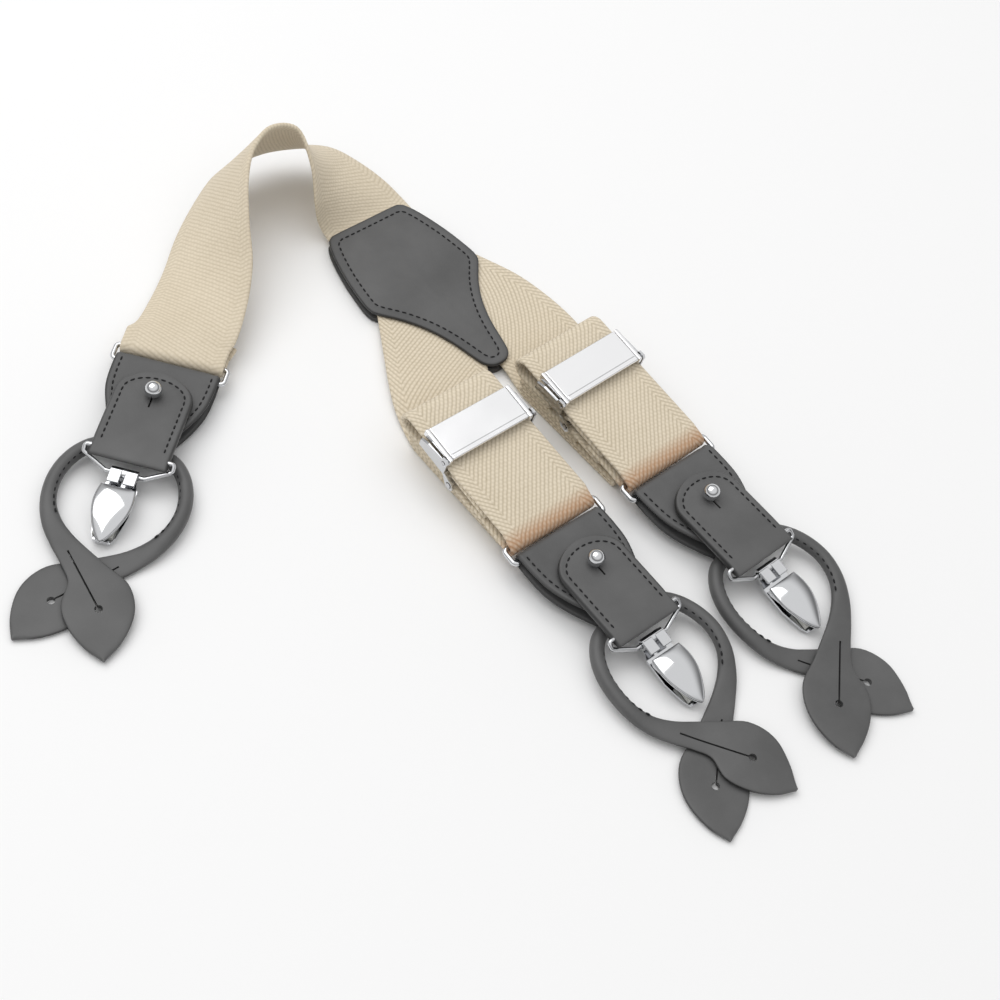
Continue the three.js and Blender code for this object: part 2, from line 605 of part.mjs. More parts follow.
function loopGeometry(lie) {
  const arm = (over) => ARM_ROUTE.map((row) => loopStation(row, over, lie));
  const chosen = [...arm(true).reverse(), ...arm(false).slice(1)];
  const middle = new THREE.CatmullRomCurve3(chosen.map(({ at }) => at));
  const size = new THREE.CatmullRomCurve3(chosen.map(({ half, thick }) => vec(half, thick)));
  const steps = Math.round((chosen.length - 1) * 1.5);
  const rings = Array.from({ length: steps + 1 }, (_, i) => {
    const t = i / steps;
    const along = middle.getTangent(t);
    const across = vec(along.y, -along.x).normalize();
    const out = across.clone().cross(along);
    const at = middle.getPoint(t);
    const { x: half, y: thick } = size.getPoint(t);
    const square = THREE.MathUtils.smoothstep(half, 2.6, 5);
    return Array.from({ length: LOOP_SIDES }, (__, j) => {
      const angle = 2 * Math.PI * (j + 0.5) / LOOP_SIDES;
      const power = 1 - 0.45 * square;
      const c = Math.sign(Math.cos(angle)) * Math.abs(Math.cos(angle)) ** power;
      const s = Math.sign(Math.sin(angle)) * Math.abs(Math.sin(angle)) ** power;
      return at.clone().addScaledVector(across, half * c).addScaledVector(out, thick * s);
    });
  });
  const holes = [true, false].map((over) => {
    const [a, b] = [9, 12].map((i) => loopStation(ARM_ROUTE[i], over, lie).at);
    const heading = Math.atan2(b.y - a.y, b.x - a.x);
    return unite(
      new THREE.CylinderGeometry(LEAF_HOLE, LEAF_HOLE, 3.4, 10).rotateX(Math.PI / 2),
      block(-9, 0, -0.4, 0.4, -1.7, 1.7)).rotateZ(heading).translate(b.x, b.y, b.z);
  });
  return cut(loft(rings), ...holes);
}

function addLeatherEnd(name, ring, yaw, { ringPitch, pitch, sway, crossing }) {
  const ringFrame = frameIn(suspenders, ring, yaw, ringPitch);
  const [x, y, bend] = [RING_HALF, RING_PITCH, RING_CORNER];
  const ringLoop = wireLoop([[x, 0], [-x, 0], [-x, -y], [x, -y]], bend, RING_WIRE);
  addMesh(ringFrame, `${name}_ring`, ringLoop, CHROME());

  const hanger = frameIn(ringFrame, vec(0, -RING_PITCH), 0, pitch - ringPitch);
  const studUp = RING_WIRE + GAP + LEATHER;
  const studZ = studUp / Math.cos(rad(HANGER_TILT)) - STUD_Y * Math.tan(rad(HANGER_TILT));
  const tab = frameIn(hanger, vec(0, STUD_Y, studZ), 0, -HANGER_TILT);
  const bore = new THREE.CylinderGeometry(STUD_BORE, STUD_BORE, 3.4, 12).rotateX(Math.PI / 2)
    .rotateX(-rad(HANGER_TILT)).translate(0, STUD_Y, studZ);
  addMesh(hanger, `${name}_hanger`, cut(hangerGeometry(), bore), LEATHER_GREY());
  addMesh(tab, `${name}_stud`, studGeometry(), CHROME());
  addMesh(tab, `${name}_stud_screw`, studScrewGeometry(), CHROME());
  addMesh(tab, `${name}_clip_tab`, tabGeometry(), LEATHER_GREY());

  const bail = frameIn(tab, vec(0, TUNNEL_Y, TUNNEL_Z), 0, BAIL_DROP + HANGER_TILT);
  const bailLoop = wireLoop([
    [14.3, 0], [-14.3, 0], [-14.3, -2.6], [-6.4, -BAIL_LENGTH], [6.4, -BAIL_LENGTH], [14.3, -2.6],
  ], 1, BAIL_WIRE);
  addMesh(bail, `${name}_bail`, bailLoop, CHROME());

  const clip = frameIn(bail, vec(0, -BAIL_LENGTH), 0, CLIP_DROP - BAIL_DROP);
  addMesh(clip, `${name}_clip_plate`, clipPlateGeometry(), CHROME());
  addMesh(clip, `${name}_clip_lever`, clipLeverGeometry(), CHROME());
  addMesh(clip, `${name}_clip_pin`,
    rod(CLIP_PIN_R, -5.6, 5.6, CLIP_PIN_Y, CLIP_PIN_Z, 10), CHROME());
  addMesh(clip, `${name}_jaw_pad`, block(-3.2, 3.2, -22.6, -16.4, -0.75, 1), RUBBER());

  const barHeight = ring.z - RING_PITCH * Math.sin(rad(ringPitch));
  addMesh(hanger, `${name}_button_loop`, loopGeometry({ barHeight, pitch, sway, crossing }),
    LEATHER_GREY());
}

// The whole object -----------------------------------------------------------------------------
addCrosspatch();
for (const [name, spec] of Object.entries(STRAPS)) {
  addFrontStrap(name, spec);
  addAdjuster(name, ringBar(spec), spec.yaw);
  const lie = { ringPitch: 6, pitch: 4.5, sway: -9, crossing: spec.crossing };
  addLeatherEnd(name, ringBar(spec), spec.yaw, lie);
}
addMesh(suspenders, 'rear_strap', strap(rearStrapStations()), WEBBING());
const rearLie = { ringPitch: REAR_SLOPE, pitch: 1.8, sway: 0, crossing: LEFT_ARM_OVER };
addLeatherEnd('rear', REAR_RING, REAR_YAW, rearLie);

export default suspenders;
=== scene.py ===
import json
from math import acos, asin, ceil, copysign, cos, degrees, dist, hypot, pi, radians, sin, sqrt, tan

import bmesh
import bpy
from bpy.props import FloatProperty, FloatVectorProperty, PointerProperty, StringProperty
from mathutils import Matrix, Vector


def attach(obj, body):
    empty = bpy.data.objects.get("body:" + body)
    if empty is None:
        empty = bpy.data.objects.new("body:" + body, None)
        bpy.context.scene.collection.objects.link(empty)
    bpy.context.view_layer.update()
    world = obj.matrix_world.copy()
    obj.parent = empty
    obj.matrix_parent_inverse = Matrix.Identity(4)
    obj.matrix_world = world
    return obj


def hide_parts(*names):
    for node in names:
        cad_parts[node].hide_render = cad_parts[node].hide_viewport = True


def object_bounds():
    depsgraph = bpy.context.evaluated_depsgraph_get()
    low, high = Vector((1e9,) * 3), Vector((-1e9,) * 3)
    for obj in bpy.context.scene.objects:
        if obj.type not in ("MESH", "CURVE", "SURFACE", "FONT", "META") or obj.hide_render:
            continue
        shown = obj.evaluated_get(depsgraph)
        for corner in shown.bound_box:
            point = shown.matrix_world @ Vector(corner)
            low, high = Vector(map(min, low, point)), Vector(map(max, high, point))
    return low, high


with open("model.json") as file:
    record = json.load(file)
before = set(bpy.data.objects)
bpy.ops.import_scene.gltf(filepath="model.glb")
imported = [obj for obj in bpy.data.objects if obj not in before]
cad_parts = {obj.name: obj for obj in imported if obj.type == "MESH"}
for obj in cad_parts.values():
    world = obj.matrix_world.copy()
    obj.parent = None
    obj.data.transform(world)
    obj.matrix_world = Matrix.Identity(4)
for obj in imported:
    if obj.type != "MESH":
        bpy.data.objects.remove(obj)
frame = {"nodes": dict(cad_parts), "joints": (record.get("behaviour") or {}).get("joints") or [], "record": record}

bl_info = {
    "name": "Convertible suspenders",
    "version": (1, 0, 0),
    "blender": (4, 5, 0),
    "location": "View3D > Sidebar > Suspenders",
    "description": "Builds the webbing, leather and plated fittings of a pair of suspenders",
    "category": "Object",
}

CAD_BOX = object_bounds()
MM = 0.001

# Sizes in millimetres, as the solid model has them ---
WEB_WIDTH = 35
WEB_THICK = 1.6
LEATHER = 1.4
GAP = 0.3
PATCH_TURN = 3
PATCH_WEB_Z = LEATHER + GAP + WEB_THICK / 2
RING_WIRE = 0.9
RING_CORNERS = [(18.9, 0), (-18.9, 0), (-18.9, -6), (18.9, -6)]
RING_CORNER = 1.4
WEB_BEND = RING_WIRE + GAP + WEB_THICK / 2
STACK_START = 49
STACK_FLOOR = 0.9
STACK_RUNS = (44, 45, 26, 26, 12)
STACK_TOP_RUN = 12
STACK_STEP = 1.9
TOP_SLOPE = 7.9
TOP_RUN = 52
TOP_FOLD = 4
RETURN_RUN = 18.6
END_BAR_Y = -10
END_BAR_Z = -2 * WEB_BEND
END_TAIL = 16
COVER_PIN_Y = -5
COVER_PIN_Z = 2.6
COVER_HALF = 17.4
ADJUSTER_DEPTH = 13
CORD_R = 2.4
NECK_Y = -33
STUD_BALL = 2.9
STUD_BALL_Z = 2 * GAP + 2.6 + 2.5
STUD_NECK = 1.6
STUD_FOOT = 3.8
STUD_FOOT_DEPTH = 0.8
TAB_HALF = 12.8
TAB_THICK = 2.6
TAB_TOP = 9.5
TUNNEL_Y = -23.8
TUNNEL_Z = 1.75
BAIL_WIRE = 0.75
BAIL_CORNER = 1
BAIL_TIP = 33
BAIL_CORNERS = [
    (14.3, 0), (-14.3, 0), (-14.3, -2.6), (-6.4, -6.7), (6.4, -6.7), (14.3, -2.6),
]
CLIP_TIP = 6
TAB_ROLL = -17
TAB_END = TUNNEL_Y - 3.2
TAB_STITCH_INSET = 2.6
HANGER_STITCH_INSET = 2.3
PATCH_STITCH_INSET = 3.3
HANGER_TILT = asin((CORD_R - RING_WIRE) / -NECK_Y)
LEFT_ARM_OVER = 1
RIGHT_ARM_OVER = -1

SIDES = ("left", "right", "rear")
FRONTS = ("left", "right")

# How each leather end lies: the hanger's fall in degrees, the loop's sideways swing and its top arm.
LIES = {
    "left": {"ring_pitch": 6, "pitch": 4.5, "sway": -9, "crossing": LEFT_ARM_OVER},
    "right": {"ring_pitch": 6, "pitch": 4.5, "sway": -9, "crossing": RIGHT_ARM_OVER},
    "rear": {"ring_pitch": 2, "pitch": 1.8, "sway": 0, "crossing": LEFT_ARM_OVER},
}

# Where each front strap runs from the crosspatch to its stack: x, y, z and its heading off -Y.
STRAPS = {
    "left": {
        "yaw": 2.5,
        "lean": 0.24,
        "side": -1,
        "leaving": [
            (0.3, 6, PATCH_WEB_Z, -27.5), (-6.6, -7.2, PATCH_WEB_Z, -27.5),
            (-13.5, -20.6, PATCH_WEB_Z, -27.5), (-19.6, -32.4, PATCH_WEB_Z, -26),
            (-23.6, -41.6, 1.9, -17), (-25.4, -48.5, 0.95, -4),
        ],
    },
    "right": {
        "yaw": 4,
        "lean": 0.14,
        "side": 1,
        "leaving": [
            (4.6, 8, PATCH_WEB_Z, 27), (11.4, -4.9, PATCH_WEB_Z, 26),
            (15.8, -14, PATCH_WEB_Z, 19), (18.5, -24.5, PATCH_WEB_Z, 9),
            (19.6, -33, PATCH_WEB_Z, 3), (19.8, -40, 2.2, 2), (19.4, -47.5, 1, 3),
        ],
    },
}

# The rear strap's inner and outer edges, from the crosspatch to its ring.
REAR_EDGES = [
    ((-17.4, 26, 2.5), (17.6, 26, 2.5)),
    ((-17.4, 34, 2.5), (17.6, 34.8, 2.5)),
    ((-17.4, 38.2, 2.5), (17.6, 39.8, 2.5)),
    ((-17.7, 40.6, 3.8), (17, 43, 3.1)),
    ((-18.5, 42.8, 8.4), (14.6, 49, 5.4)),
    ((-19.6, 44.4, 17), (9.8, 59.6, 8.6)),
    ((-18.4, 50, 29), (2.8, 70.4, 10.4)),
    ((-18.2, 60.3, 38.1), (-12, 79, 9.2)),
    ((-26.4, 63.9, 39.7), (-25.2, 80.8, 9)),
    ((-35.8, 60, 37.6), (-38.6, 79, 8.1)),
    ((-42.9, 52.6, 33.8), (-49.6, 73.4, 6.6)),
    ((-49.6, 41, 26.5), (-63.3, 64, 4.2)),
    ((-54.8, 30, 18.8), (-75, 53.4, 2.6)),
    ((-63, 19.6, 13), (-86, 44.4, 3)),
    ((-73.2, 10.2, 9.4), (-96, 36.7, 5.4)),
]
REAR_END = 6
REAR_TURN_UP = 10.5
REAR_SMOOTH = 90

PATCH_HALF_OUTLINE = [
    (0, 38.6), (13, 38.6), (15.4, 38), (17, 36.6), (19.4, 31), (22.2, 20), (23.8, 9),
    (23.9, 4.5), (22.8, 1.5), (17, -5.6), (12.2, -13.6), (8.8, -22.6), (6.6, -32),
    (5.3, -36), (3, -38.2), (0, -38.8),
]
HANGER_HALF_WIDTH = [
    (5, 17.2), (-4, 17.4), (-13, 16.6), (-20.5, 14), (-27.5, 10.4), (-31.5, 8.2), (-40, 7.8),
]
LEVER_HALF_WIDTH = [
    (-5.9, 5.7), (-8, 6.1), (-11, 6.3), (-14, 6), (-17, 5.2), (-20, 4), (-22.6, 2.6),
    (-24.4, 1.2), (-25, 0.3),
]
# The button loop's arm: x, y, blend from the neck's plane to the ground, half width, half
# thickness and height above the ground.
ARM_ROUTE = [
    (0, -33, 0, 2.4, 2.4, 0), (8.2, -33, 0, 2.4, 2.4, 0), (13, -34.5, 0, 2.4, 2.4, 0),
    (17.2, -38.8, 0, 2.4, 2.4, 0), (20, -45, 0, 2.4, 2.4, 0), (20.9, -52, 0, 2.4, 2.4, 0),
    (19.6, -59.5, 0, 2.6, 2.2, 0), (16.2, -66, 0.35, 3.1, 1.6, 1.4),
    (11, -71.6, 0.85, 3.8, 1.1, 1.3), (5.4, -76.2, 1, 4.8, 0.9, 1.1),
    (-0.2, -81, 1, 6.5, 0.9, 1.1), (-4.4, -86.4, 1, 10.2, 0.9, 1.1),
    (-7.4, -92, 1, 10.8, 0.9, 1.1), (-10, -98, 1, 8.8, 0.9, 1.1),
    (-12.4, -103.6, 1, 4.7, 0.9, 1.1), (-14, -107.4, 1, 0.4, 0.8, 1.1),
]
OVER_LIFT = 2.15
LEAF_HOLE = 1.3
LEAF_SLIT = 0.3
LEAF_SLIT_LENGTH = 23
GROOVE = 0.16
CUT_DEPTH = 1.1
LOOP_SEAM_ENDS = (-64, -38)
LOOP_SEAM_TILT = 42
LOOP_SEAM_SINK = 0.18
# The side of a clip lever in its (y, z) view, and the clip's two hooks over the bail.
LEVER_SIDE_VIEW = [
    (-6.2, 2.3), (-6.2, 0.9), (-6.6, -0.2), (-7.5, -0.75), (-8.6, -0.4), (-12, 0.9), (-15.5, 2.3),
]
LEVER_SIDES = ((4.7, 5.4), (-5.4, -4.7))
HOOK_SIDES = ((0.65, 4.5), (-4.5, -0.65))

# Ribs of the elastic: millimetres from one to the next along the strap, how far a rib climbs for
# each millimetre across, and how strongly it stands out, in relief and in painted shade between
# the ribs. The yarns in a rib would not show.
FRONT_RIBS = (2.1, 1.2, 0.8)
REAR_RIBS = (1.4, -0.38, 0.45)
FLOAT_LENGTH = 1.5
EDGE_BAND = 4.2


# Places taken from the frame ---
JOINTS = {joint["name"]: joint for joint in frame["joints"]}


def local_frame(origin, across, pitch):
    """A frame with X level along across, tipped about it by pitch degrees; in millimetres."""
    x = Vector(across).normalized()
    level = Vector((0, 0, 1)).cross(x)
    angle = radians(pitch)
    y = level * cos(angle) + Vector((0, 0, 1)) * sin(angle)
    z = x.cross(y)
    place = Matrix((x, y, z)).transposed().to_4x4()
    place.translation = Vector(origin)
    return place


def joint_frame(name, sign, pitch):
    """A frame at a joint, its X along the joint's axis or against it."""
    joint = JOINTS[name]
    across = [sign * value for value in joint["axis"]]
    return local_frame(Vector(joint["pos_m"]) / MM, across, pitch)


def ring_frame(side):
    return joint_frame(f"{side}_ring_swing", -1, LIES[side]["ring_pitch"])


def hanger_frame(side):
    return joint_frame(f"{side}_hanger_swing", -1, LIES[side]["pitch"])


def tab_frame(side):
    origin = Vector(JOINTS[f"{side}_tab_swivel"]["pos_m"]) / MM
    across = [-value for value in JOINTS[f"{side}_hanger_swing"]["axis"]]
    return local_frame(origin, across, LIES[side]["pitch"] - degrees(HANGER_TILT))


def bail_frame(side):
    return joint_frame(f"{side}_bail_swing", 1, LIES[side]["pitch"] + BAIL_TIP)


def clip_frame(side):
    return joint_frame(f"{side}_clip_swing", 1, LIES[side]["pitch"] + CLIP_TIP)


def adjuster_frame(side):
    pin = joint_frame(f"{side}_cover_flip", 1, TOP_SLOPE)
    return pin @ Matrix.Translation((0, -COVER_PIN_Y, -COVER_PIN_Z))


# Curves and pens ---
def smooth_rows(rows, steps):
    """Evenly stepped centripetal Catmull-Rom through rows of numbers whose first three are a place."""
    count = len(rows)
    points = [tuple(a + (a - b) for a, b in zip(rows[0], rows[1])), *rows]
    points.append(tuple(a + (a - b) for a, b in zip(rows[-1], rows[-2])))
    knots = [dist(points[i][:3], points[i + 1][:3]) ** 0.5 or 1 for i in range(count + 1)]
    result = []
    for step in range(steps + 1):
        along = step / steps * (count - 1)
        i = min(int(along), count - 2)
        t = along - i
        a, b, c, d = points[i:i + 4]
        before, here, after = knots[i:i + 3]
        row = []
        for p0, p1, p2, p3 in zip(a, b, c, d):
            m1 = ((p1 - p0) / before - (p2 - p0) / (before + here) + (p2 - p1) / here) * here
            m2 = ((p2 - p1) / here - (p3 - p1) / (here + after) + (p3 - p2) / after) * here
            row.append(
                p1 + m1 * t + (3 * (p2 - p1) - 2 * m1 - m2) * t * t
                + (2 * (p1 - p2) + m1 + m2) * t ** 3)
        result.append(tuple(row))
    return result


def smooth_step(value, low, high):
    """Rises smoothly from 0 at low to 1 at high."""
    t = min(max((value - low) / (high - low), 0), 1)
    return t * t * (3 - 2 * t)


def table_value(table, y):
    """Straight interpolation in a table of (y, value) that falls in y."""
    for (y0, v0), (y1, v1) in zip(table, table[1:]):
        if y >= y1:
            return v0 + (v1 - v0) * min(max((y0 - y) / (y0 - y1), 0), 1)
    return table[-1][1]


def smooth_table(table):
    """A table of (y, value) with smooth steps in between."""
    return [(y, value) for y, value, _ in smooth_rows([(y, v, 0) for y, v in table], 60)]


def groove(distance):
    """How far a seam pulls the leather down, at a distance from its stitches."""
    return GROOVE * max(1 - (distance / 0.9) ** 2, 0)


class Pen:
    """Walks in a strap's (y, z) side view; a positive turn lifts a heading of -Y."""

    def __init__(self, y, z, heading=180):
        self.trail = [(y, z)]
        self.heading = heading

    def go(self, length, steps=1):
        angle = radians(self.heading)
        for _ in range(steps):
            y, z = self.trail[-1]
            stride = length / steps
            self.trail.append((y + stride * cos(angle), z + stride * sin(angle)))
        return self

    def turn(self, sweep, radius):
        steps = ceil(abs(sweep) / 15)
        stride = 2 * radius * sin(radians(abs(sweep)) / steps / 2)
        for _ in range(steps):
            self.heading += sweep / steps / 2
            self.go(stride)
            self.heading += sweep / steps / 2
        return self


# Mesh builders ---
def new_piece(name, vertices, faces, material, smooth=True):
    """A piece from vertices in millimetres, its faces turned outwards."""
    mesh = bpy.data.meshes.new(name)
    mesh.from_pydata([tuple(Vector(v) * MM) for v in vertices], [], faces)
    mesh.validate()
    mesh.materials.append(material)
    work = bmesh.new()
    work.from_mesh(mesh)
    bmesh.ops.recalc_face_normals(work, faces=work.faces)
    work.to_mesh(mesh)
    work.free()
    if smooth:
        mesh.shade_smooth()
    return linked(name, mesh)


def linked(name, data):
    """An object for the data, in the scene."""
    thing = bpy.data.objects.new(name, data)
    bpy.context.scene.collection.objects.link(thing)
    return thing


def skin(rings, closed=False):
    """Vertices and faces over rings of points with equal counts; an open run has its ends capped."""
    sides = len(rings[0])
    vertices = [point for ring in rings for point in ring]
    faces = []
    for i in range(len(rings) if closed else len(rings) - 1):
        after = (i + 1) % len(rings)
        for j in range(sides):
            k = (j + 1) % sides
            faces.append((i * sides + j, i * sides + k, after * sides + k, after * sides + j))
    if not closed:
        faces.append(tuple(range(sides))[::-1])
        faces.append(tuple((len(rings) - 1) * sides + j for j in range(sides)))
    return vertices, faces


def name_uv(piece, values):
    """A UV map in metres from one (u, v) for each vertex."""
    layer = piece.data.uv_layers.new(name="Weave")
    for loop in piece.data.loops:
        layer.data[loop.index].uv = values[loop.vertex_index]


def name_attribute(piece, name, values):
    """A number for each vertex that the materials read."""
    attribute = piece.data.attributes.new(name, "FLOAT", "POINT")
    attribute.data.foreach_set("value", values)


def tape_section(width, thick, columns=14):
    """Places across and through a tape's section, with its two selvedges rounded."""
    half, deep = width / 2, thick / 2
    flat = [-half + deep + (width - thick) * i / columns for i in range(columns + 1)]
    right = [(half - deep + deep * cos(a), deep * sin(a))
             for a in (pi / 4, 0, -pi / 4)]
    left = [(-u, -t) for u, t in right]
    return [(u, deep) for u in flat] + right + [(u, -deep) for u in reversed(flat)] + left


def tape(name, stations, width, material, limit=None, tint=None):
    """Webbing through stations of middle and across, with its weave's UV map along it."""
    section = tape_section(width, WEB_THICK)
    rings, uv, tints, run = [], [], [], 0
    for i, (at, across) in enumerate(stations):
        before, after = stations[max(i - 1, 0)][0], stations[min(i + 1, len(stations) - 1)][0]
        normal = (after - before).normalized().cross(across).normalized()
        run += (at - before).length if i else 0
        ring = [at + across * u + normal * t for u, t in section]
        rings.append([limit(point) for point in ring] if limit else ring)
        uv += [(u * MM, run * MM) for u, _ in section]
        tints += [tint(point) if tint else 0 for point in ring]
    piece = new_piece(name, *skin(rings), material)
    name_uv(piece, uv)
    name_attribute(piece, "Fold tint", tints)
    return piece, run


def wire_spine(corners, bend, steps=8):
    """A closed line round a polygon's corners, each rounded to the bend radius."""
    spine = []
    for i, corner in enumerate(corners):
        here = Vector(corner)
        into = (here - Vector(corners[i - 1])).normalized()
        out = (Vector(corners[(i + 1) % len(corners)]) - here).normalized()
        half = acos(max(-1, min(1, into.dot(out)))) / 2
        turn = copysign(1, into.x * out.y - into.y * out.x)
        start = here - into * bend * tan(half)
        centre = start + Vector((-into.y, into.x)) * turn * bend
        for step in range(steps + 1):
            angle = turn * 2 * half * step / steps
            spoke = Matrix.Rotation(angle, 2) @ (start - centre)
            spine.append(centre + spoke)
    return spine


def wire_loop(name, corners, bend, radius, place, material, sides=14):
    spine = wire_spine(corners, bend)
    rings = []
    for i, point in enumerate(spine):
        along = (spine[(i + 1) % len(spine)] - spine[i - 1]).normalized()
        out = Vector((along.y, -along.x, 0))
        ring = []
        for j in range(sides):
            angle = 2 * pi * j / sides
            spot = Vector((point.x, point.y, 0)) + out * radius * cos(angle)
            ring.append(place @ (spot + Vector((0, 0, radius * sin(angle)))))
        rings.append(ring)
    return new_piece(name, *skin(rings, closed=True), material)


def turned(name, profile, place, material, sides=32):
    """A closed profile of (radius, z) turned about the place's Z, from pole to pole."""
    vertices = [place @ Vector((0, 0, profile[0][1]))]
    for radius, z in profile[1:-1]:
        for j in range(sides):
            angle = 2 * pi * j / sides
            vertices.append(place @ Vector((radius * cos(angle), radius * sin(angle), z)))
    vertices.append(place @ Vector((0, 0, profile[-1][1])))
    last = len(vertices) - 1
    faces = []
    for i in range(len(profile) - 3):
        for j in range(sides):
            a, b = 1 + i * sides + j, 1 + i * sides + (j + 1) % sides
            faces.append((a, b, b + sides, a + sides))
    for j in range(sides):
        k = (j + 1) % sides
        faces.append((0, 1 + k, 1 + j))
        faces.append((last, last - sides + j, last - sides + k))
    return new_piece(name, vertices, faces, material)


def shell(name, rows, place, material, round_edge=0.5, columns=18, seam=None):
    """A solid in rows down Y: each row is y, half width, top and bottom height, and a crown.
    Its long sides are rounded, and an attribute runs from 0 inside to 1 at its sides and is 0.6
    underneath; the leather darkens with it, as edge paint and as painted shade on the rolled sides
    and the underside."""
    rings, edges = [], []
    for y, half, top, bottom, crown in rows:
        edge = min(round_edge, half * 0.45, (top - bottom) / 2)
        ring, middle = [], (top + bottom) / 2
        for side in (1, -1):
            height = top if side > 0 else bottom
            steps = range(columns + 1) if side > 0 else range(1, columns)
            for i in steps:
                x = side * half * sin(pi * (i / columns - 0.5))
                inset = half - abs(x)
                fall = 0
                if inset < edge:
                    fall = 1 - sqrt(max(1 - (1 - inset / edge) ** 2, 0))
                rise = crown * (1 - (x / half) ** 2) if side > 0 else 0
                rise -= groove(seam(x, y)) if seam and side > 0 else 0
                ring.append(place @ Vector((x, y, height + (middle - height) * fall + rise)))
                # Drawn darker at the rounded sides and at 0.6 underneath: edge paint, and painted shade where the
                # sides roll away and beneath.
                edges.append(1 - smooth_step(inset, 0.15, 1.1) if side > 0 else 0.6)
        rings.append(ring)
    piece = new_piece(name, *skin(rings), material)
    name_attribute(piece, "Edge paint and shade", edges)
    return piece


def prism(name, outline, z0, z1, place, material):
    """A flat outline given a thickness."""
    count = len(outline)
    vertices = [place @ Vector((x, y, z)) for z in (z0, z1) for x, y in outline]
    faces = [tuple(range(count)), tuple(range(count, 2 * count))]
    faces += [(i, (i + 1) % count, count + (i + 1) % count, count + i) for i in range(count)]
    return new_piece(name, vertices, faces, material, smooth=False)


def plate(name, outline, z0, z1, place, material, bevel, segments=3):
    """A flat outline given a thickness, its sharp edges rounded for good."""
    piece = prism(name, outline, z0, z1, place, material)
    modifier = piece.modifiers.new("Softened edges", "BEVEL")
    modifier.width = bevel * MM
    modifier.segments = segments
    modifier.limit_method = "ANGLE"
    modifier.angle_limit = radians(30)
    settle(piece)
    even_normals(piece)
    return piece


def even_normals(piece):
    """Smooth shading in which large faces stay flat."""
    piece.data.shade_smooth()
    piece.data.set_sharp_from_angle(angle=radians(40))
    normals = piece.modifiers.new("Face normals", "WEIGHTED_NORMAL")
    normals.keep_sharp = True
    settle(piece)


def settle(piece):
    """Turns a piece with modifiers into its plain evaluated mesh."""
    graph = bpy.context.evaluated_depsgraph_get()
    mesh = bpy.data.meshes.new_from_object(piece.evaluated_get(graph))
    old = piece.data
    piece.modifiers.clear()
    piece.data = mesh
    bpy.data.meshes.remove(old)


def box_shape(name, low, high, place, material, bevel):
    """A softened block between two corners."""
    outline = [(low[0], low[1]), (high[0], low[1]), (high[0], high[1]), (low[0], high[1])]
    return plate(name, outline, low[2], high[2], place, material, bevel)


def joined(name, pieces):
    """Several meshes of one body made into one piece."""
    work = bmesh.new()
    for piece in pieces:
        work.from_mesh(piece.data)
    mesh = bpy.data.meshes.new(name)
    work.to_mesh(mesh)
    work.free()
    mesh.materials.append(pieces[0].data.materials[0])
    mesh.shade_smooth()
    for piece in pieces:
        bpy.data.objects.remove(piece)
    return linked(name, mesh)


def keep(piece, body, slot, *nodes):
    """Gives a finished piece its body and hides the solids that it stands for; slot is not used."""
    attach(piece, body)
    if nodes:
        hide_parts(*nodes)


# Materials ---
# A noise's or a pebble's scale is how many of its features there are in a metre, which is 1000
# over their size in millimetres.
def linear(hex_colour):
    """A linear RGBA colour from an sRGB hex value."""
    values = [int(hex_colour[i:i + 2], 16) / 255 for i in (1, 3, 5)]
    return (*[v / 12.92 if v <= 0.04045 else ((v + 0.055) / 1.055) ** 2.4 for v in values], 1)


def add_node(tree, kind, inputs=(), **settings):
    """Adds a node with its own settings. inputs holds values, outputs or nodes, by socket name
    or in the sockets' order; a node stands for its first output."""
    node = tree.nodes.new(kind)
    for name, value in settings.items():
        setattr(node, name, value)
    pairs = inputs.items() if isinstance(inputs, dict) else enumerate(inputs)
    for name, value in pairs:
        if isinstance(value, bpy.types.Node):
            value = value.outputs[0]
        if isinstance(value, bpy.types.NodeSocket):
            tree.links.new(value, node.inputs[name])
        else:
            node.inputs[name].default_value = value
    return node


def new_material(name, **shader):
    """A material and its surface; shader names the surface's own constant sockets."""
    material = bpy.data.materials.new(name)
    material.use_nodes = True
    tree = material.node_tree
    tree.nodes.clear()
    values = {key.replace("_", " "): value for key, value in shader.items()}
    surface = add_node(tree, "ShaderNodeBsdfPrincipled", values)
    add_node(tree, "ShaderNodeOutputMaterial", {"Surface": surface})
    return material, tree, surface


def join_patterns(tree, surface, colour=None, roughness=None, height=None, strength=0, depth=0):
    """Joins patterns to the surface: its colour, its roughness, and a relief depth mm deep."""
    if height is not None:
        height = add_node(tree, "ShaderNodeBump", {
            "Height": height, "Strength": strength, "Distance": depth * MM}).outputs[0]
    for name, value in (("Base Color", colour), ("Roughness", roughness), ("Normal", height)):
        if value is not None:
            tree.links.new(value, surface.inputs[name])


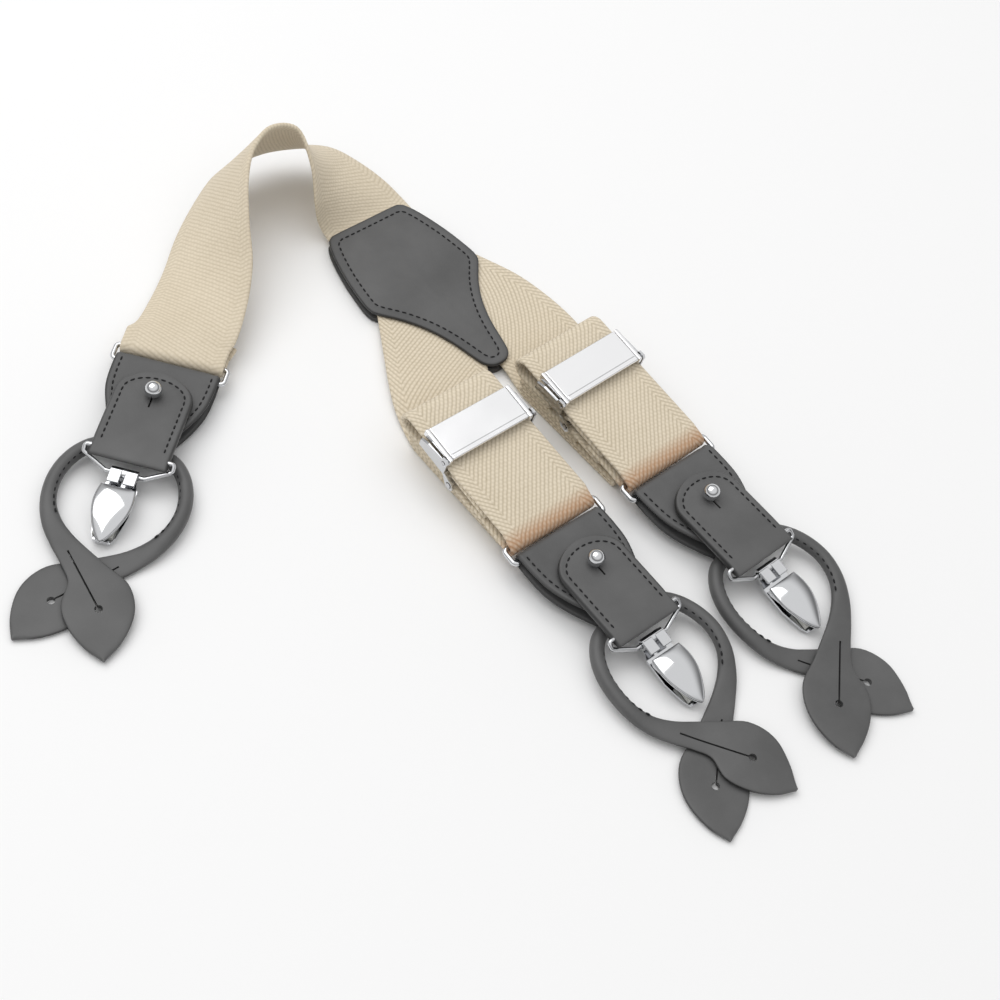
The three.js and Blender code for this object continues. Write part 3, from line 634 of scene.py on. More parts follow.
def elastic_webbing(settings, name, pitch, slant, rib_relief_and_shade):
    """Woven elastic webbing: a polyester twill over rubber yarns. Soft and matt, its slanted ribs
    broken into short floats and turned back in a band along each selvedge. Its colour is drawn
    lighter on the ribs and darker between them as painted shade, with the yarns' grain and slow
    changes of tone mixed in, and browner close to where it is folded over a ring."""
    light, dark = linear(settings.webbing_light), linear(settings.webbing_dark)
    material, tree, surface = new_material(
        name, Roughness=0.88, Sheen_Weight=0.12, Sheen_Roughness=0.5, Specular_IOR_Level=0.2)
    uv = add_node(tree, "ShaderNodeUVMap", uv_map="Weave")
    split = add_node(tree, "ShaderNodeSeparateXYZ", [uv]).outputs
    values = {
        "across": split[0], "along": split[1],
        "tint": add_node(tree, "ShaderNodeAttribute", attribute_name="Fold tint").outputs["Fac"],
    }
    # Ribs wander over 3 mm, yarns differ every 1.4 mm and wear shows over 17 mm.
    for key, scale, detail in (("wobble", 300, 2), ("grain", 700, 3), ("cloud", 60, 3)):
        values[key] = add_node(
            tree, "ShaderNodeTexNoise", {"Vector": uv, "Scale": scale, "Detail": detail})
    # Across is folded back at each selvedge's band, a rib is a parabola over its share of the
    # pitch, and every other rib's floats are half a float further on.
    for key, operation, *given in (
            ("size", "ABSOLUTE", "across"),
            ("past", "SUBTRACT", "size", (WEB_WIDTH / 2 - EDGE_BAND) * MM),
            ("past", "MAXIMUM", "past", 0),
            ("past", "MULTIPLY", "past", 2),
            ("side", "SIGN", "across"),
            ("past", "MULTIPLY", "past", "side"),
            ("folded", "SUBTRACT", "across", "past"),
            ("place", "MULTIPLY_ADD", "folded", slant, "along"),
            ("place", "MULTIPLY_ADD", "wobble", 0.0007, "place"),
            ("count", "DIVIDE", "place", pitch * MM),
            ("share", "FRACT", "count"),
            ("share", "MULTIPLY_ADD", "share", 2, -1),
            ("share", "MULTIPLY", "share", "share"),
            ("rib", "SUBTRACT", 1, "share"),
            ("climb", "MULTIPLY", "along", slant),
            ("float", "SUBTRACT", "folded", "climb"),
            ("float", "DIVIDE", "float", FLOAT_LENGTH * hypot(1, slant) * MM),
            ("row", "FLOOR", "count"),
            ("float", "MULTIPLY_ADD", "row", 0.5, "float"),
            ("float", "MULTIPLY", "float", 2 * pi),
            ("bead", "SINE", "float"),
            ("bead", "MULTIPLY_ADD", "bead", 0.5, 0.5),
            ("bead", "MULTIPLY_ADD", "bead", 0.35, 0.65),
            ("height", "MULTIPLY", "rib", "bead"),
            # The colour's tone: lighter on the raised ribs and darker between them, painted shade in the grooves,
            # with the yarns' grain and a slow cloud of tone added.
            ("tone", "MULTIPLY_ADD", "height", rib_relief_and_shade, 0.32 - 0.5 * rib_relief_and_shade),
            ("tone", "MULTIPLY_ADD", "grain", 0.35, "tone"),
            ("tone", "MULTIPLY_ADD", "cloud", 0.25, "tone"),
            # Browner close to the fold over the ring, less on the raised ribs.
            ("browning", "MULTIPLY_ADD", "height", -0.3, 0.8),
            ("browning", "MULTIPLY", "tint", "browning")):
        given = [values.get(value, value) for value in given]
        values[key] = add_node(tree, "ShaderNodeMath", given, operation=operation)
    rib_shade_and_tone = add_node(tree, "ShaderNodeMix", {"Factor": values["tone"], "A": dark, "B": light},
                     data_type="RGBA").outputs["Result"]
    browned = add_node(tree, "ShaderNodeMix", {
        "Factor": values["browning"], "A": rib_shade_and_tone, "B": linear(settings.fold_colour)},
        data_type="RGBA").outputs["Result"]
    join_patterns(tree, surface, browned, None, values["height"], 0.6 * rib_relief_and_shade, 0.3)
    return material


def corrected_leather(name, light_hex, dark_hex, roughness):
    """Corrected-grain cowhide, dyed grey and finished semi-matt, its cut edges painted nearly
    black: an even face with a fine pebble and slow changes of tone where it is handled. The
    darkening towards the edges and undersides is partly edge paint and partly painted shade."""
    material, tree, surface = new_material(
        name, Specular_IOR_Level=0.4, Coat_Weight=0.05, Coat_Roughness=0.4)
    place = add_node(tree, "ShaderNodeTexCoord").outputs["Object"]
    # Handling shows over 22 mm and creases over 2.4 mm. The pebbles are 0.8 mm, drawn coarser
    # than real ones so that they show.
    cloud = add_node(tree, "ShaderNodeTexNoise", {"Vector": place, "Scale": 45, "Detail": 3})
    values = {
        "pebble": add_node(
            tree, "ShaderNodeTexVoronoi", {"Vector": place, "Scale": 1300, "Randomness": 0.9},
            feature="SMOOTH_F1"),
        "crease": add_node(
            tree, "ShaderNodeTexNoise",
            {"Vector": place, "Scale": 420, "Detail": 6, "Roughness": 0.6}),
        "tone": add_node(
            tree, "ShaderNodeMapRange", {"Value": cloud, "From Min": 0.3, "From Max": 0.7}),
        "edge": add_node(tree, "ShaderNodeAttribute", attribute_name="Edge paint and shade").outputs["Fac"],
    }
    for key, operation, *given in (
            ("tone", "MULTIPLY", "tone", 0.65),
            ("tone", "MULTIPLY_ADD", "crease", 0.35, "tone"),
            ("edge_paint_and_shade", "MULTIPLY", "edge", 0.8),
            ("worn", "MULTIPLY_ADD", "crease", 0.16, roughness - 0.08),
            ("worn", "MULTIPLY_ADD", "edge", -0.12, "worn"),
            ("height", "MULTIPLY_ADD", "crease", 0.6, "pebble")):
        given = [values.get(value, value) for value in given]
        values[key] = add_node(tree, "ShaderNodeMath", given, operation=operation).outputs[0]
    face = add_node(tree, "ShaderNodeMix", {
        "Factor": values["tone"], "A": linear(dark_hex), "B": linear(light_hex)},
        data_type="RGBA").outputs["Result"]
    # Towards near black where the edge attribute is high: edge paint, and painted shade on the rolled sides and
    # undersides.
    painted = add_node(tree, "ShaderNodeMix", {
        "Factor": values["edge_paint_and_shade"], "A": face, "B": linear("#1B1B1B")},
        data_type="RGBA").outputs["Result"]
    join_patterns(tree, surface, painted, values["worn"], values["height"], 0.22, 0.12)
    return material


def bright_chrome(name, hex_colour, roughness):
    """Decorative chrome over nickel: cool and mirror bright, its gloss softened in places by
    handling."""
    material, tree, surface = new_material(name, Metallic=1.0, Base_Color=linear(hex_colour))
    place = add_node(tree, "ShaderNodeTexCoord").outputs["Object"]
    # Finger marks of about 11 mm.
    haze = add_node(tree, "ShaderNodeTexNoise", {"Vector": place, "Scale": 90, "Detail": 4})
    rough = add_node(tree, "ShaderNodeMapRange", {
        "Value": haze, "From Min": 0.3, "From Max": 0.75,
        "To Min": roughness * 0.8, "To Max": roughness * 1.4})
    join_patterns(tree, surface, roughness=rough.outputs[0])
    return material


def waxed_thread(settings):
    """Waxed polyester sewing thread, two plies twisted, nearly black."""
    material, tree, surface = new_material(
        "Waxed polyester thread", Roughness=0.6, Specular_IOR_Level=0.3)
    place = add_node(tree, "ShaderNodeTexCoord").outputs["Object"]
    # A wave's period is a twentieth of a turn over its scale: 0.35 mm, the thread's lay.
    twist = add_node(tree, "ShaderNodeTexWave", {"Vector": place, "Scale": 900, "Distortion": 1.5})
    colour = add_node(tree, "ShaderNodeMix", {
        "Factor": twist, "A": linear("#0B0B0C"), "B": linear(settings.thread_colour)},
        data_type="RGBA").outputs["Result"]
    join_patterns(tree, surface, colour, None, twist, 0.4, 0.05)
    return material


def moulded_rubber():
    """Moulded PVC jaw pad: pale, dull, with a fine tooled texture."""
    material, tree, surface = new_material(
        "Moulded jaw pad", Roughness=0.62, Base_Color=linear("#B9B9B4"))
    place = add_node(tree, "ShaderNodeTexCoord").outputs["Object"]
    # Tooling marks of 0.7 mm.
    grain = add_node(tree, "ShaderNodeTexNoise", {"Vector": place, "Scale": 1500, "Detail": 2})
    join_patterns(tree, surface, height=grain, strength=0.3, depth=0.08)
    return material


MATERIALS = {}


def finish_named(key):
    """The scene's finishes, each made once."""
    settings = bpy.context.scene.suspenders
    makers = {
        "webbing": lambda: elastic_webbing(settings, "Woven elastic webbing", *FRONT_RIBS),
        "rear webbing": lambda: elastic_webbing(
            settings, "Woven elastic webbing across", *REAR_RIBS),
        "leather": lambda: corrected_leather(
            "Corrected-grain leather", settings.leather_light, settings.leather_dark, 0.52),
        "cord": lambda: corrected_leather(
            "Rolled leather", settings.leather_light, settings.leather_dark, 0.48),
        "chrome": lambda: bright_chrome("Bright chrome plating", "#CFD0D2", 0.08),
        "cover": lambda: bright_chrome("Satin-bright chrome plating", "#F2F2F3", 0.16),
        "thread": lambda: waxed_thread(settings),
        "rubber": moulded_rubber,
    }
    if key not in MATERIALS:
        MATERIALS[key] = makers[key]()
    return MATERIALS[key]


# Stitching by Geometry Nodes ---
def stitch_tree():
    """Lays one padded stitch for each pitch along a line; the attribute Up says which way is out."""
    tree = bpy.data.node_groups.new("Stitch row", "GeometryNodeTree")
    for label, way, kind in (
            ("Line", "INPUT", "Geometry"), ("Pitch", "INPUT", "Float"),
            ("Stitch length", "INPUT", "Float"), ("Thread width", "INPUT", "Float"),
            ("Thread", "INPUT", "Material"), ("Stitches", "OUTPUT", "Geometry")):
        tree.interface.new_socket(label, in_out=way, socket_type=f"NodeSocket{kind}")
    given = tree.nodes.new("NodeGroupInput").outputs
    curve = add_node(tree, "GeometryNodeMeshToCurve", {"Mesh": given["Line"]})
    spaced = add_node(tree, "GeometryNodeResampleCurve",
                      {"Curve": curve, "Length": given["Pitch"]}, mode="LENGTH")
    up = add_node(tree, "GeometryNodeInputNamedAttribute", {"Name": "Up"}, data_type="FLOAT_VECTOR")
    tangent = add_node(tree, "GeometryNodeInputTangent")
    along = add_node(tree, "FunctionNodeAlignRotationToVector", {"Vector": tangent}, axis="X")
    upright = add_node(tree, "FunctionNodeAlignRotationToVector",
                       {"Rotation": along, "Vector": up}, axis="Z", pivot_axis="X")
    bead = add_node(tree, "GeometryNodeMeshUVSphere", {"Segments": 8, "Rings": 5, "Radius": 0.5})
    size = add_node(tree, "ShaderNodeCombineXYZ", [
        given["Stitch length"], given["Thread width"], given["Thread width"]])
    placed = add_node(tree, "GeometryNodeInstanceOnPoints", {
        "Points": spaced, "Instance": bead, "Rotation": upright, "Scale": size})
    real = add_node(tree, "GeometryNodeRealizeInstances", {"Geometry": placed})
    threaded = add_node(tree, "GeometryNodeSetMaterial",
                        {"Geometry": real, "Material": given["Thread"]})
    add_node(tree, "NodeGroupOutput", {"Stitches": threaded})
    return tree


def sew(name, lines, body):
    """One body's stitching: lines are lists of (place, outward direction) in millimetres."""
    settings = bpy.context.scene.suspenders
    vertices, edges, ups = [], [], []
    for line in lines:
        first = len(vertices)
        vertices += [tuple(Vector(place) * MM) for place, _ in line]
        ups += [value for _, out in line for value in out]
        edges += [(i, i + 1) for i in range(first, len(vertices) - 1)]
    mesh = bpy.data.meshes.new(name)
    mesh.from_pydata(vertices, edges, [])
    mesh.attributes.new("Up", "FLOAT_VECTOR", "POINT").data.foreach_set("vector", ups)
    piece = linked(name, mesh)
    modifier = piece.modifiers.new("Stitches", "NODES")
    modifier.node_group = bpy.data.node_groups.get("Stitch row") or stitch_tree()
    values = {
        "Pitch": settings.stitch_pitch, "Stitch length": settings.stitch_length,
        "Thread width": settings.thread_width, "Thread": finish_named("thread"),
    }
    for item in modifier.node_group.interface.items_tree:
        if item.in_out == "INPUT" and item.name in values:
            modifier[item.identifier] = values[item.name]
    settle(piece)
    piece.data.shade_smooth()
    keep(piece, body, "leather")


# Webbing ---
def folded_trail():
    """A front strap's side view from its stack over the ring, the ring bar's place in it, and
    how many of its points come before the ring."""
    pen = Pen(STACK_START, STACK_FLOOR)
    for i, run in enumerate(STACK_RUNS):
        pen.go(run).turn(180 if i % 2 else -180, STACK_STEP / 2)
    pen.go(STACK_TOP_RUN).turn(180 + TOP_SLOPE, TOP_FOLD).go(TOP_RUN, 12)
    past_top = len(pen.trail)
    y, z = pen.trail[-1]
    slope = radians(TOP_SLOPE)
    bar = (y + WEB_BEND * sin(slope), z - WEB_BEND * cos(slope))
    pen.turn(180, WEB_BEND).go(RETURN_RUN, 4)
    return pen.trail, bar, past_top


def front_strap_stations(side):
    """A front strap from the crosspatch through its folded stack to its ring."""
    spec = STRAPS[side]
    trail, bar, past_top = folded_trail()
    highest = max(z for _, z in trail)
    ring = Vector(JOINTS[f"{side}_ring_swing"]["pos_m"]) / MM
    yaw = radians(spec["yaw"])
    across = Vector((cos(yaw), sin(yaw), 0))
    up = Vector((-sin(yaw), cos(yaw), 0))
    folded = []
    for i, (y, z) in enumerate(trail):
        shift = spec["lean"] * max(highest - 3 - z, 0) if i < past_top - 1 else 0
        folded.append((Vector((ring.x, ring.y, z)) + up * (y - bar[0]) + across * shift, across))
    rows = [(x, y, z, cos(radians(h)), sin(radians(h)), 0)
            for x, y, z, h in spec["leaving"]]
    rows.append((*folded[0][0], *across))
    arrive = [(Vector(row[:3]), Vector(row[3:]).normalized()) for row in smooth_rows(rows, 40)]
    return arrive + folded[1:]


def mitre(side):
    """Stops each front strap at the crosspatch's middle line, where the two are butted."""
    turn = Matrix.Rotation(radians(PATCH_TURN), 4, "Z")
    back = turn.inverted()

    def stop(point):
        local = back @ point
        if local.y > -32:
            local.x = max(local.x, 0.15) if side > 0 else min(local.x, -0.15)
        return turn @ local
    return stop


def fold_tint(side):
    """How much browner a front strap is drawn: most close to its fold over the ring."""
    ring = ring_frame(side).inverted()

    def amount(point):
        return 1 - smooth_step((ring @ point).y, -0.5, 5)
    return amount


def rear_strap_stations():
    """The rear strap round its bend, over its ring and back."""
    rows = []
    for inner, outer in REAR_EDGES:
        a, b = Vector(inner), Vector(outer)
        rows.append((*((a + b) / 2), *(a - b).normalized()))
    place = ring_frame("rear")
    across = (place.to_3x3() @ Vector((1, 0, 0))).normalized()
    pen = Pen(REAR_END, WEB_BEND).go(REAR_END, 2).turn(180, WEB_BEND).go(REAR_END, 2)
    end = [(place @ Vector((0, y, z)), across) for y, z in pen.trail]
    rows.append((*end[0][0], *across))
    smooth = [(Vector(r[:3]), Vector(r[3:]).normalized()) for r in smooth_rows(rows, REAR_SMOOTH)]
    return smooth + end[1:] + turned_up(smooth)


def turned_up(stations):
    """The rear strap's sewn end, which runs back under the strap and keeps to its edges."""
    result, run = [], 0
    for i in range(len(stations) - 2, 0, -1):
        at, across = stations[i]
        run += (stations[i + 1][0] - at).length
        if run > REAR_TURN_UP - REAR_END:
            return result
        normal = (stations[i + 1][0] - stations[i - 1][0]).normalized().cross(across).normalized()
        normal = normal if normal.z > 0 else -normal
        result.append((at - normal * 2 * WEB_BEND, across))
    return result


def build_webbing():
    for side in FRONTS:
        name = f"{side}_web"
        piece, run = tape(name, front_strap_stations(side), WEB_WIDTH, finish_named("webbing"),
                          mitre(STRAPS[side]["side"]), fold_tint(side))
        keep(piece, "root", "webbing", f"{side}_strap")
        place = adjuster_frame(side)
        across = (place.to_3x3() @ Vector((1, 0, 0))).normalized()
        pen = Pen(END_BAR_Y - END_TAIL, END_BAR_Z + WEB_BEND, 0)
        pen.go(END_TAIL, 4).turn(-180, WEB_BEND).go(END_TAIL, 4)
        stations = [(place @ Vector((0, y, z)), across) for y, z in pen.trail]
        tail, tail_run = tape(f"{side}_web_end", stations, WEB_WIDTH - 0.6, finish_named("webbing"))
        keep(tail, f"{side}_adjuster", "webbing", f"{side}_strap_end")
    piece, run = tape("rear_web", rear_strap_stations(), WEB_WIDTH, finish_named("rear webbing"))
    keep(piece, "root", "webbing", "rear_strap")


# Crosspatch ---
def mirrored(half):
    """A whole outline from its right half, from the top down."""
    return list(half) + [(-x, y) for x, y in reversed(half) if x > 0]


def smooth_outline(points, steps=3):
    """A closed outline with each span cut into steps of a smooth curve."""
    count = len(points)
    result = []
    for i in range(count):
        a, b, c, d = (points[(i + k - 1) % count] for k in range(4))
        for step in range(steps):
            t = step / steps
            result.append(tuple(
                0.5 * (2 * b[k] + (c[k] - a[k]) * t + (2 * a[k] - 5 * b[k] + 4 * c[k] - d[k]) * t * t
                       + (3 * b[k] - a[k] - 3 * c[k] + d[k]) * t ** 3)
                for k in range(2)))
    return result


def edge_distance(outline, point):
    """How far a point is from the nearest side of an outline."""
    nearest = 1000
    for a, b in zip(outline, outline[1:] + outline[:1]):
        along = (b[0] - a[0], b[1] - a[1])
        length = along[0] ** 2 + along[1] ** 2
        share = ((point[0] - a[0]) * along[0] + (point[1] - a[1]) * along[1]) / length
        share = min(max(share, 0), 1)
        spot = (a[0] + along[0] * share, a[1] + along[1] * share)
        nearest = min(nearest, dist(point, spot))
    return nearest


def inset_outline(outline, distance, spine=(-30, 22)):
    """The outline moved in by a distance, each point heading for a spine down the middle."""
    result = []
    for x, y in outline:
        target = (0, min(max(y, spine[0]), spine[1]))
        low, high = 0, 1
        for _ in range(11):
            share = (low + high) / 2
            spot = (x + (target[0] - x) * share, y + (target[1] - y) * share)
            if edge_distance(outline, spot) < distance:
                low = share
            else:
                high = share
        result.append((x + (target[0] - x) * high, y + (target[1] - y) * high))
    return result


def leather_ply(name, outline, low, high, place, seam=None):
    """A cut ply of leather: rounded edges darkened as edge paint and painted shade, and a groove where it is sewn.
    """
    # Each level is an inset, a height and how dark it is drawn: edge paint on the cut side, and painted shade on
    # the rounded sides and underneath.
    levels = [(0.5, low, 0.4), (0.14, low + 0.12, 1), (0, low + 0.45, 1), (0, high - 0.5, 1),
              (0.12, high - 0.2, 0.9), (0.45, high - 0.04, 0.5), (1, high, 0.1)]
    if seam:
        for across in (-1, -0.5, 0, 0.5, 1):
            levels.append((seam + across, high - groove(across), 0))
    rings = []
    for distance, z, _ in levels:
        line = inset_outline(outline, distance) if distance else outline
        rings.append([place @ Vector((x, y, z)) for x, y in line])
    piece = new_piece(name, *skin(rings), finish_named("leather"))
    name_attribute(piece, "Edge paint and shade", [edge for _, _, edge in levels for _ in outline])
    return piece


def build_crosspatch():
    """Two plies with the straps between them, sewn all round."""
    turn = Matrix.Rotation(radians(PATCH_TURN), 4, "Z")
    outline = smooth_outline(mirrored(PATCH_HALF_OUTLINE))
    top = PATCH_WEB_Z + WEB_THICK / 2 + GAP
    for label, z, seam in (("back", 0, None), ("front", top, PATCH_STITCH_INSET)):
        piece = leather_ply(f"patch_{label}", outline, z, z + LEATHER, turn, seam)
        keep(piece, "root", "leather", f"crosspatch_{label}")
    line = inset_outline(outline, PATCH_STITCH_INSET)
    line.append(line[0])
    height = top + LEATHER - 0.1
    sew("patch_stitches", [[(turn @ Vector((x, y, height)), (0, 0, 1)) for x, y in line]], "root")


# Hangers and clip tabs ---
def build_hangers():
    for side in SIDES:
        rings, edges = hanger_rings(hanger_frame(side))
        piece = new_piece(f"{side}_hanger_leather", *skin(rings, closed=True), finish_named("leather"))
        name_attribute(piece, "Edge paint and shade", edges)
        keep(piece, f"{side}_hanger_body", "leather", f"{side}_hanger")


def hanger_rings(place):
    """Rings round the hanger's ply: over the ring's bar, down the front, round the neck, back up."""
    top, neck = RING_WIRE + GAP, CORD_R + GAP
    front = pi / 2 + HANGER_TILT
    down = [(NECK_Y * i / 18, top + (neck - top) * (i / 18)) for i in range(1, 18)]
    stops = [(0, top, -front + (pi + 2 * HANGER_TILT) * i / 12) for i in range(13)]
    stops += [(y, inner, front) for y, inner in down]
    stops += [(NECK_Y, neck, front + (pi - 2 * HANGER_TILT) * i / 12) for i in range(13)]
    stops += [(y, inner, -front) for y, inner in reversed(down)]
    rings, edges = [], []
    widths = smooth_table(HANGER_HALF_WIDTH)
    for centre, inner, angle in stops:
        reach = Vector((0, cos(angle), sin(angle)))
        ring = []
        for radius, order in ((inner + LEATHER, 1), (inner, -1)):
            half = table_value(widths, centre + reach.y * radius)
            for i in range(29):
                x = order * half * sin(pi * (i / 28 - 0.5))
                inset = half - abs(x)
                ease = 0.5 * (1 - smooth_step(inset, 0, 0.9))
                if order > 0:
                    ease += groove(inset - HANGER_STITCH_INSET)
                ring.append(place @ (Vector((x, centre, 0)) + reach * (radius - order * ease)))
                # Darker towards the cut sides: edge paint, and painted shade where the sides roll away.
                edges.append(1 - smooth_step(inset, 0.1, 1))
        rings.append(ring)
    return rings, edges


def roll_share(y):
    """How much of its thickness the clip tab keeps as it rolls down round the bail."""
    share = min(max((TAB_ROLL - y) / (TAB_ROLL - TAB_END), 0), 1)
    return max((1 - share ** 3) ** (1 / 3), 0.05)


def tab_rows():
    """The clip tab from its round end to the rolled edge that holds the bail."""
    top, bottom, middle = GAP + TAB_THICK, GAP, TUNNEL_Z - 0.3
    rows = []
    for i in range(17):
        angle = pi / 2 * (1 - i / 16)
        rows.append((TAB_TOP * sin(angle), max(TAB_HALF * cos(angle), 0.3), top, bottom, 0))
    rows += [(-1.5 * i, TAB_HALF, top, bottom, 0) for i in range(1, 12)]
    for i in range(1, 19):
        y = TAB_ROLL + (TAB_END - TAB_ROLL) * sin(pi / 2 * i / 18)
        low = bottom - 0.9 * smooth_step(-y, 17, 23)
        rows.append((y, TAB_HALF, tab_height(y), middle + (low - middle) * roll_share(y), 0))
    return rows


def tab_seam(x, y):
    """Distance from the clip tab's line of stitches."""
    if y > 0:
        out = hypot(x / (TAB_HALF - TAB_STITCH_INSET), y / (TAB_TOP - TAB_STITCH_INSET))
        return abs(1 - out) * (TAB_TOP - TAB_STITCH_INSET)
    return abs(TAB_HALF - TAB_STITCH_INSET - abs(x)) if y > TUNNEL_Y + 3 else 1


def tab_height(y):
    """The clip tab's upper face, which rolls down towards the bail."""
    middle = TUNNEL_Z - 0.3
    return middle + (GAP + TAB_THICK - middle) * roll_share(y)


def build_clip_tabs():
    for side in SIDES:
        place = tab_frame(side)
        piece = shell(f"{side}_tab_leather", tab_rows(), place, finish_named("leather"), 1.1, 34,
                      tab_seam)
        slit = [(-0.3, -5.2), (0.3, -5.2), (0.3, 0), (-0.3, 0)]
        cut_away(piece, prism("slit", slit, 1.6, 4, place, finish_named("leather")))
        even_normals(piece)
        keep(piece, f"{side}_tab_body", "leather", f"{side}_clip_tab")
        reach, low = TAB_HALF - TAB_STITCH_INSET, TUNNEL_Y + 3.4
        round_end = TAB_TOP - TAB_STITCH_INSET
        line = [(reach, low + (1 - low) * i / 12) for i in range(12)]
        for i in range(33):
            angle = pi * i / 32
            line.append((reach * cos(angle), round_end * sin(angle)))
        line += [(-reach, low + (1 - low) * i / 12) for i in range(11, -1, -1)]
        out = (place.to_3x3() @ Vector((0, 0, 1))).normalized()
        seam = [(place @ Vector((x, y, tab_height(y) - 0.1)), out) for x, y in line]
        sew(f"{side}_tab_stitches", [seam], f"{side}_tab_body")


def build_hanger_stitches():
    widths = smooth_table(HANGER_HALF_WIDTH)
    for side in SIDES:
        place = hanger_frame(side)
        tilt = Matrix.Rotation(-HANGER_TILT, 3, "X")
        out = (place.to_3x3() @ tilt @ Vector((0, 0, 1))).normalized()
        lines = [[], []]
        for i in range(22):
            y = -1.2 - 29.2 * i / 21
            share = -y / -NECK_Y
            height = (RING_WIRE + (CORD_R - RING_WIRE) * share + GAP + LEATHER) \
                / cos(HANGER_TILT) - 0.1
            half = table_value(widths, y) - HANGER_STITCH_INSET
            for line, x in zip(lines, (half, -half)):
                line.append((place @ Vector((x, y, height)), out))
        sew(f"{side}_hanger_stitches", lines, f"{side}_hanger_body")


# Button loops ---
def loop_row(row, over, side):
    """One row of an arm of the button loop: its middle, half width and half thickness."""
    x, y, blend, half, thick, lift = row
    lie = LIES[side]
    slope = radians(lie["pitch"])
    ground = (-hanger_frame(side).translation.z - y * sin(slope)) / cos(slope)
    swing = lie["sway"] * smooth_step(-y, 48, 108)
    raised = OVER_LIFT * (1 - 0.75 * smooth_step(-y, 92, 108)) if over else 0
    x = lie["crossing"] * (-x if over else x) + swing
    return x, y, blend * (ground + lift + raised), half, thick


def build_button_loops():
    for side in SIDES:
        place = hanger_frame(side)
        over, under = ([loop_row(row, top, side) for row in ARM_ROUTE] for top in (True, False))
        rows = smooth_rows(over[::-1] + under[1:], 150)
        rings, edges = [], []
        for i, (x, y, z, half, thick) in enumerate(rows):
            before, after = rows[max(i - 1, 0)], rows[min(i + 1, len(rows) - 1)]
            along = (Vector(after[:3]) - Vector(before[:3])).normalized()
            across = Vector((along.y, -along.x, 0)).normalized()
            out = across.cross(along)
            square = smooth_step(half, 2.6, 5)
            ring = []
            for j in range(28):
                angle = 2 * pi * (j + 0.5) / 28
                power = 1 - 0.5 * square
                c = copysign(abs(cos(angle)) ** power, cos(angle))
                s = copysign(abs(sin(angle)) ** power, sin(angle))
                spot = Vector((x, y, z)) + across * max(half, 0.2) * c + out * max(thick, 0.2) * s
                ring.append(place @ spot)
                # Darker at the flat leaf's cut sides: edge paint, and painted shade there.
                edges.append(square * smooth_step(abs(cos(angle)), 0.93, 1))
            rings.append(ring)
        piece = new_piece(f"{side}_loop_leather", *skin(rings), finish_named("cord"))
        name_attribute(piece, "Edge paint and shade", edges)
        for top in (True, False):
            cut_buttonhole(piece, side, top, place)
        even_normals(piece)
        keep(piece, f"{side}_loop_body", "leather", f"{side}_button_loop")
        sew(f"{side}_loop_stitches", loop_seam(side, rows, place), f"{side}_loop_body")


def cut_buttonhole(piece, side, over, place):
    """A punched round hole, and the long slit that leads into it."""
    inner, outer = (Vector(loop_row(ARM_ROUTE[i], over, side)[:3]) for i in (8, 12))
    heading = (outer - inner).normalized()
    level = Vector((0, 0, 1)).cross(heading).normalized()
    spot = Matrix((heading, level, heading.cross(level))).transposed().to_4x4()
    spot.translation = outer
    spot = place @ spot
    keyhole = [(-LEAF_SLIT_LENGTH, -LEAF_SLIT)]
    opening = asin(LEAF_SLIT / LEAF_HOLE)
    for i in range(21):
        angle = -pi + opening + (2 * pi - 2 * opening) * i / 20
        keyhole.append((LEAF_HOLE * cos(angle), LEAF_HOLE * sin(angle)))
    keyhole.append((-LEAF_SLIT_LENGTH, LEAF_SLIT))
    cut_away(piece, prism("keyhole", keyhole, -CUT_DEPTH, CUT_DEPTH, spot, finish_named("cord")))


def cut_away(piece, tool):
    """Cuts a tool's shape out of a piece, and removes the tool."""
    cut = piece.modifiers.new("Cut", "BOOLEAN")
    cut.object = tool
    cut.operation = "DIFFERENCE"
    cut.solver = "EXACT"
    settle(piece)
    bpy.data.objects.remove(tool)


def loop_seam(side, rows, place):
    """The stitches along the inner side of each arm, where the leather was rolled."""
    lines = [[], []]
    tilt = radians(LOOP_SEAM_TILT)
    for i in range(1, len(rows) - 1):
        x, y, z, half, _ = rows[i]
        if not LOOP_SEAM_ENDS[0] < y < LOOP_SEAM_ENDS[1]:
            continue
        along = (Vector(rows[i + 1][:3]) - Vector(rows[i - 1][:3])).normalized()
        inward = Vector((along.y, -along.x, 0)).normalized()
        upward = inward.cross(along)
        inward = inward if inward.x * x < 0 else -inward
        upward = upward if upward.z > 0 else -upward
        out = inward * cos(tilt) + upward * sin(tilt)
        spot = Vector((x, y, z)) + out * (half - LOOP_SEAM_SINK)
        swing = LIES[side]["sway"] * smooth_step(-y, 48, 108)
        lines[x > swing].append((place @ spot, place.to_3x3() @ out))
    return [line for line in lines if len(line) > 2]


# Plated fittings ---
def build_wire_fittings():
    for side in SIDES:
        for kind, corners, bend, wire, place in (
                ("ring", RING_CORNERS, RING_CORNER, RING_WIRE, ring_frame(side)),
                ("bail", BAIL_CORNERS, BAIL_CORNER, BAIL_WIRE, bail_frame(side))):
            piece = wire_loop(
                f"{side}_{kind}_wire", corners, bend, wire, place, finish_named("chrome"))
            keep(piece, f"{side}_{kind}_body", "chrome", f"{side}_{kind}")


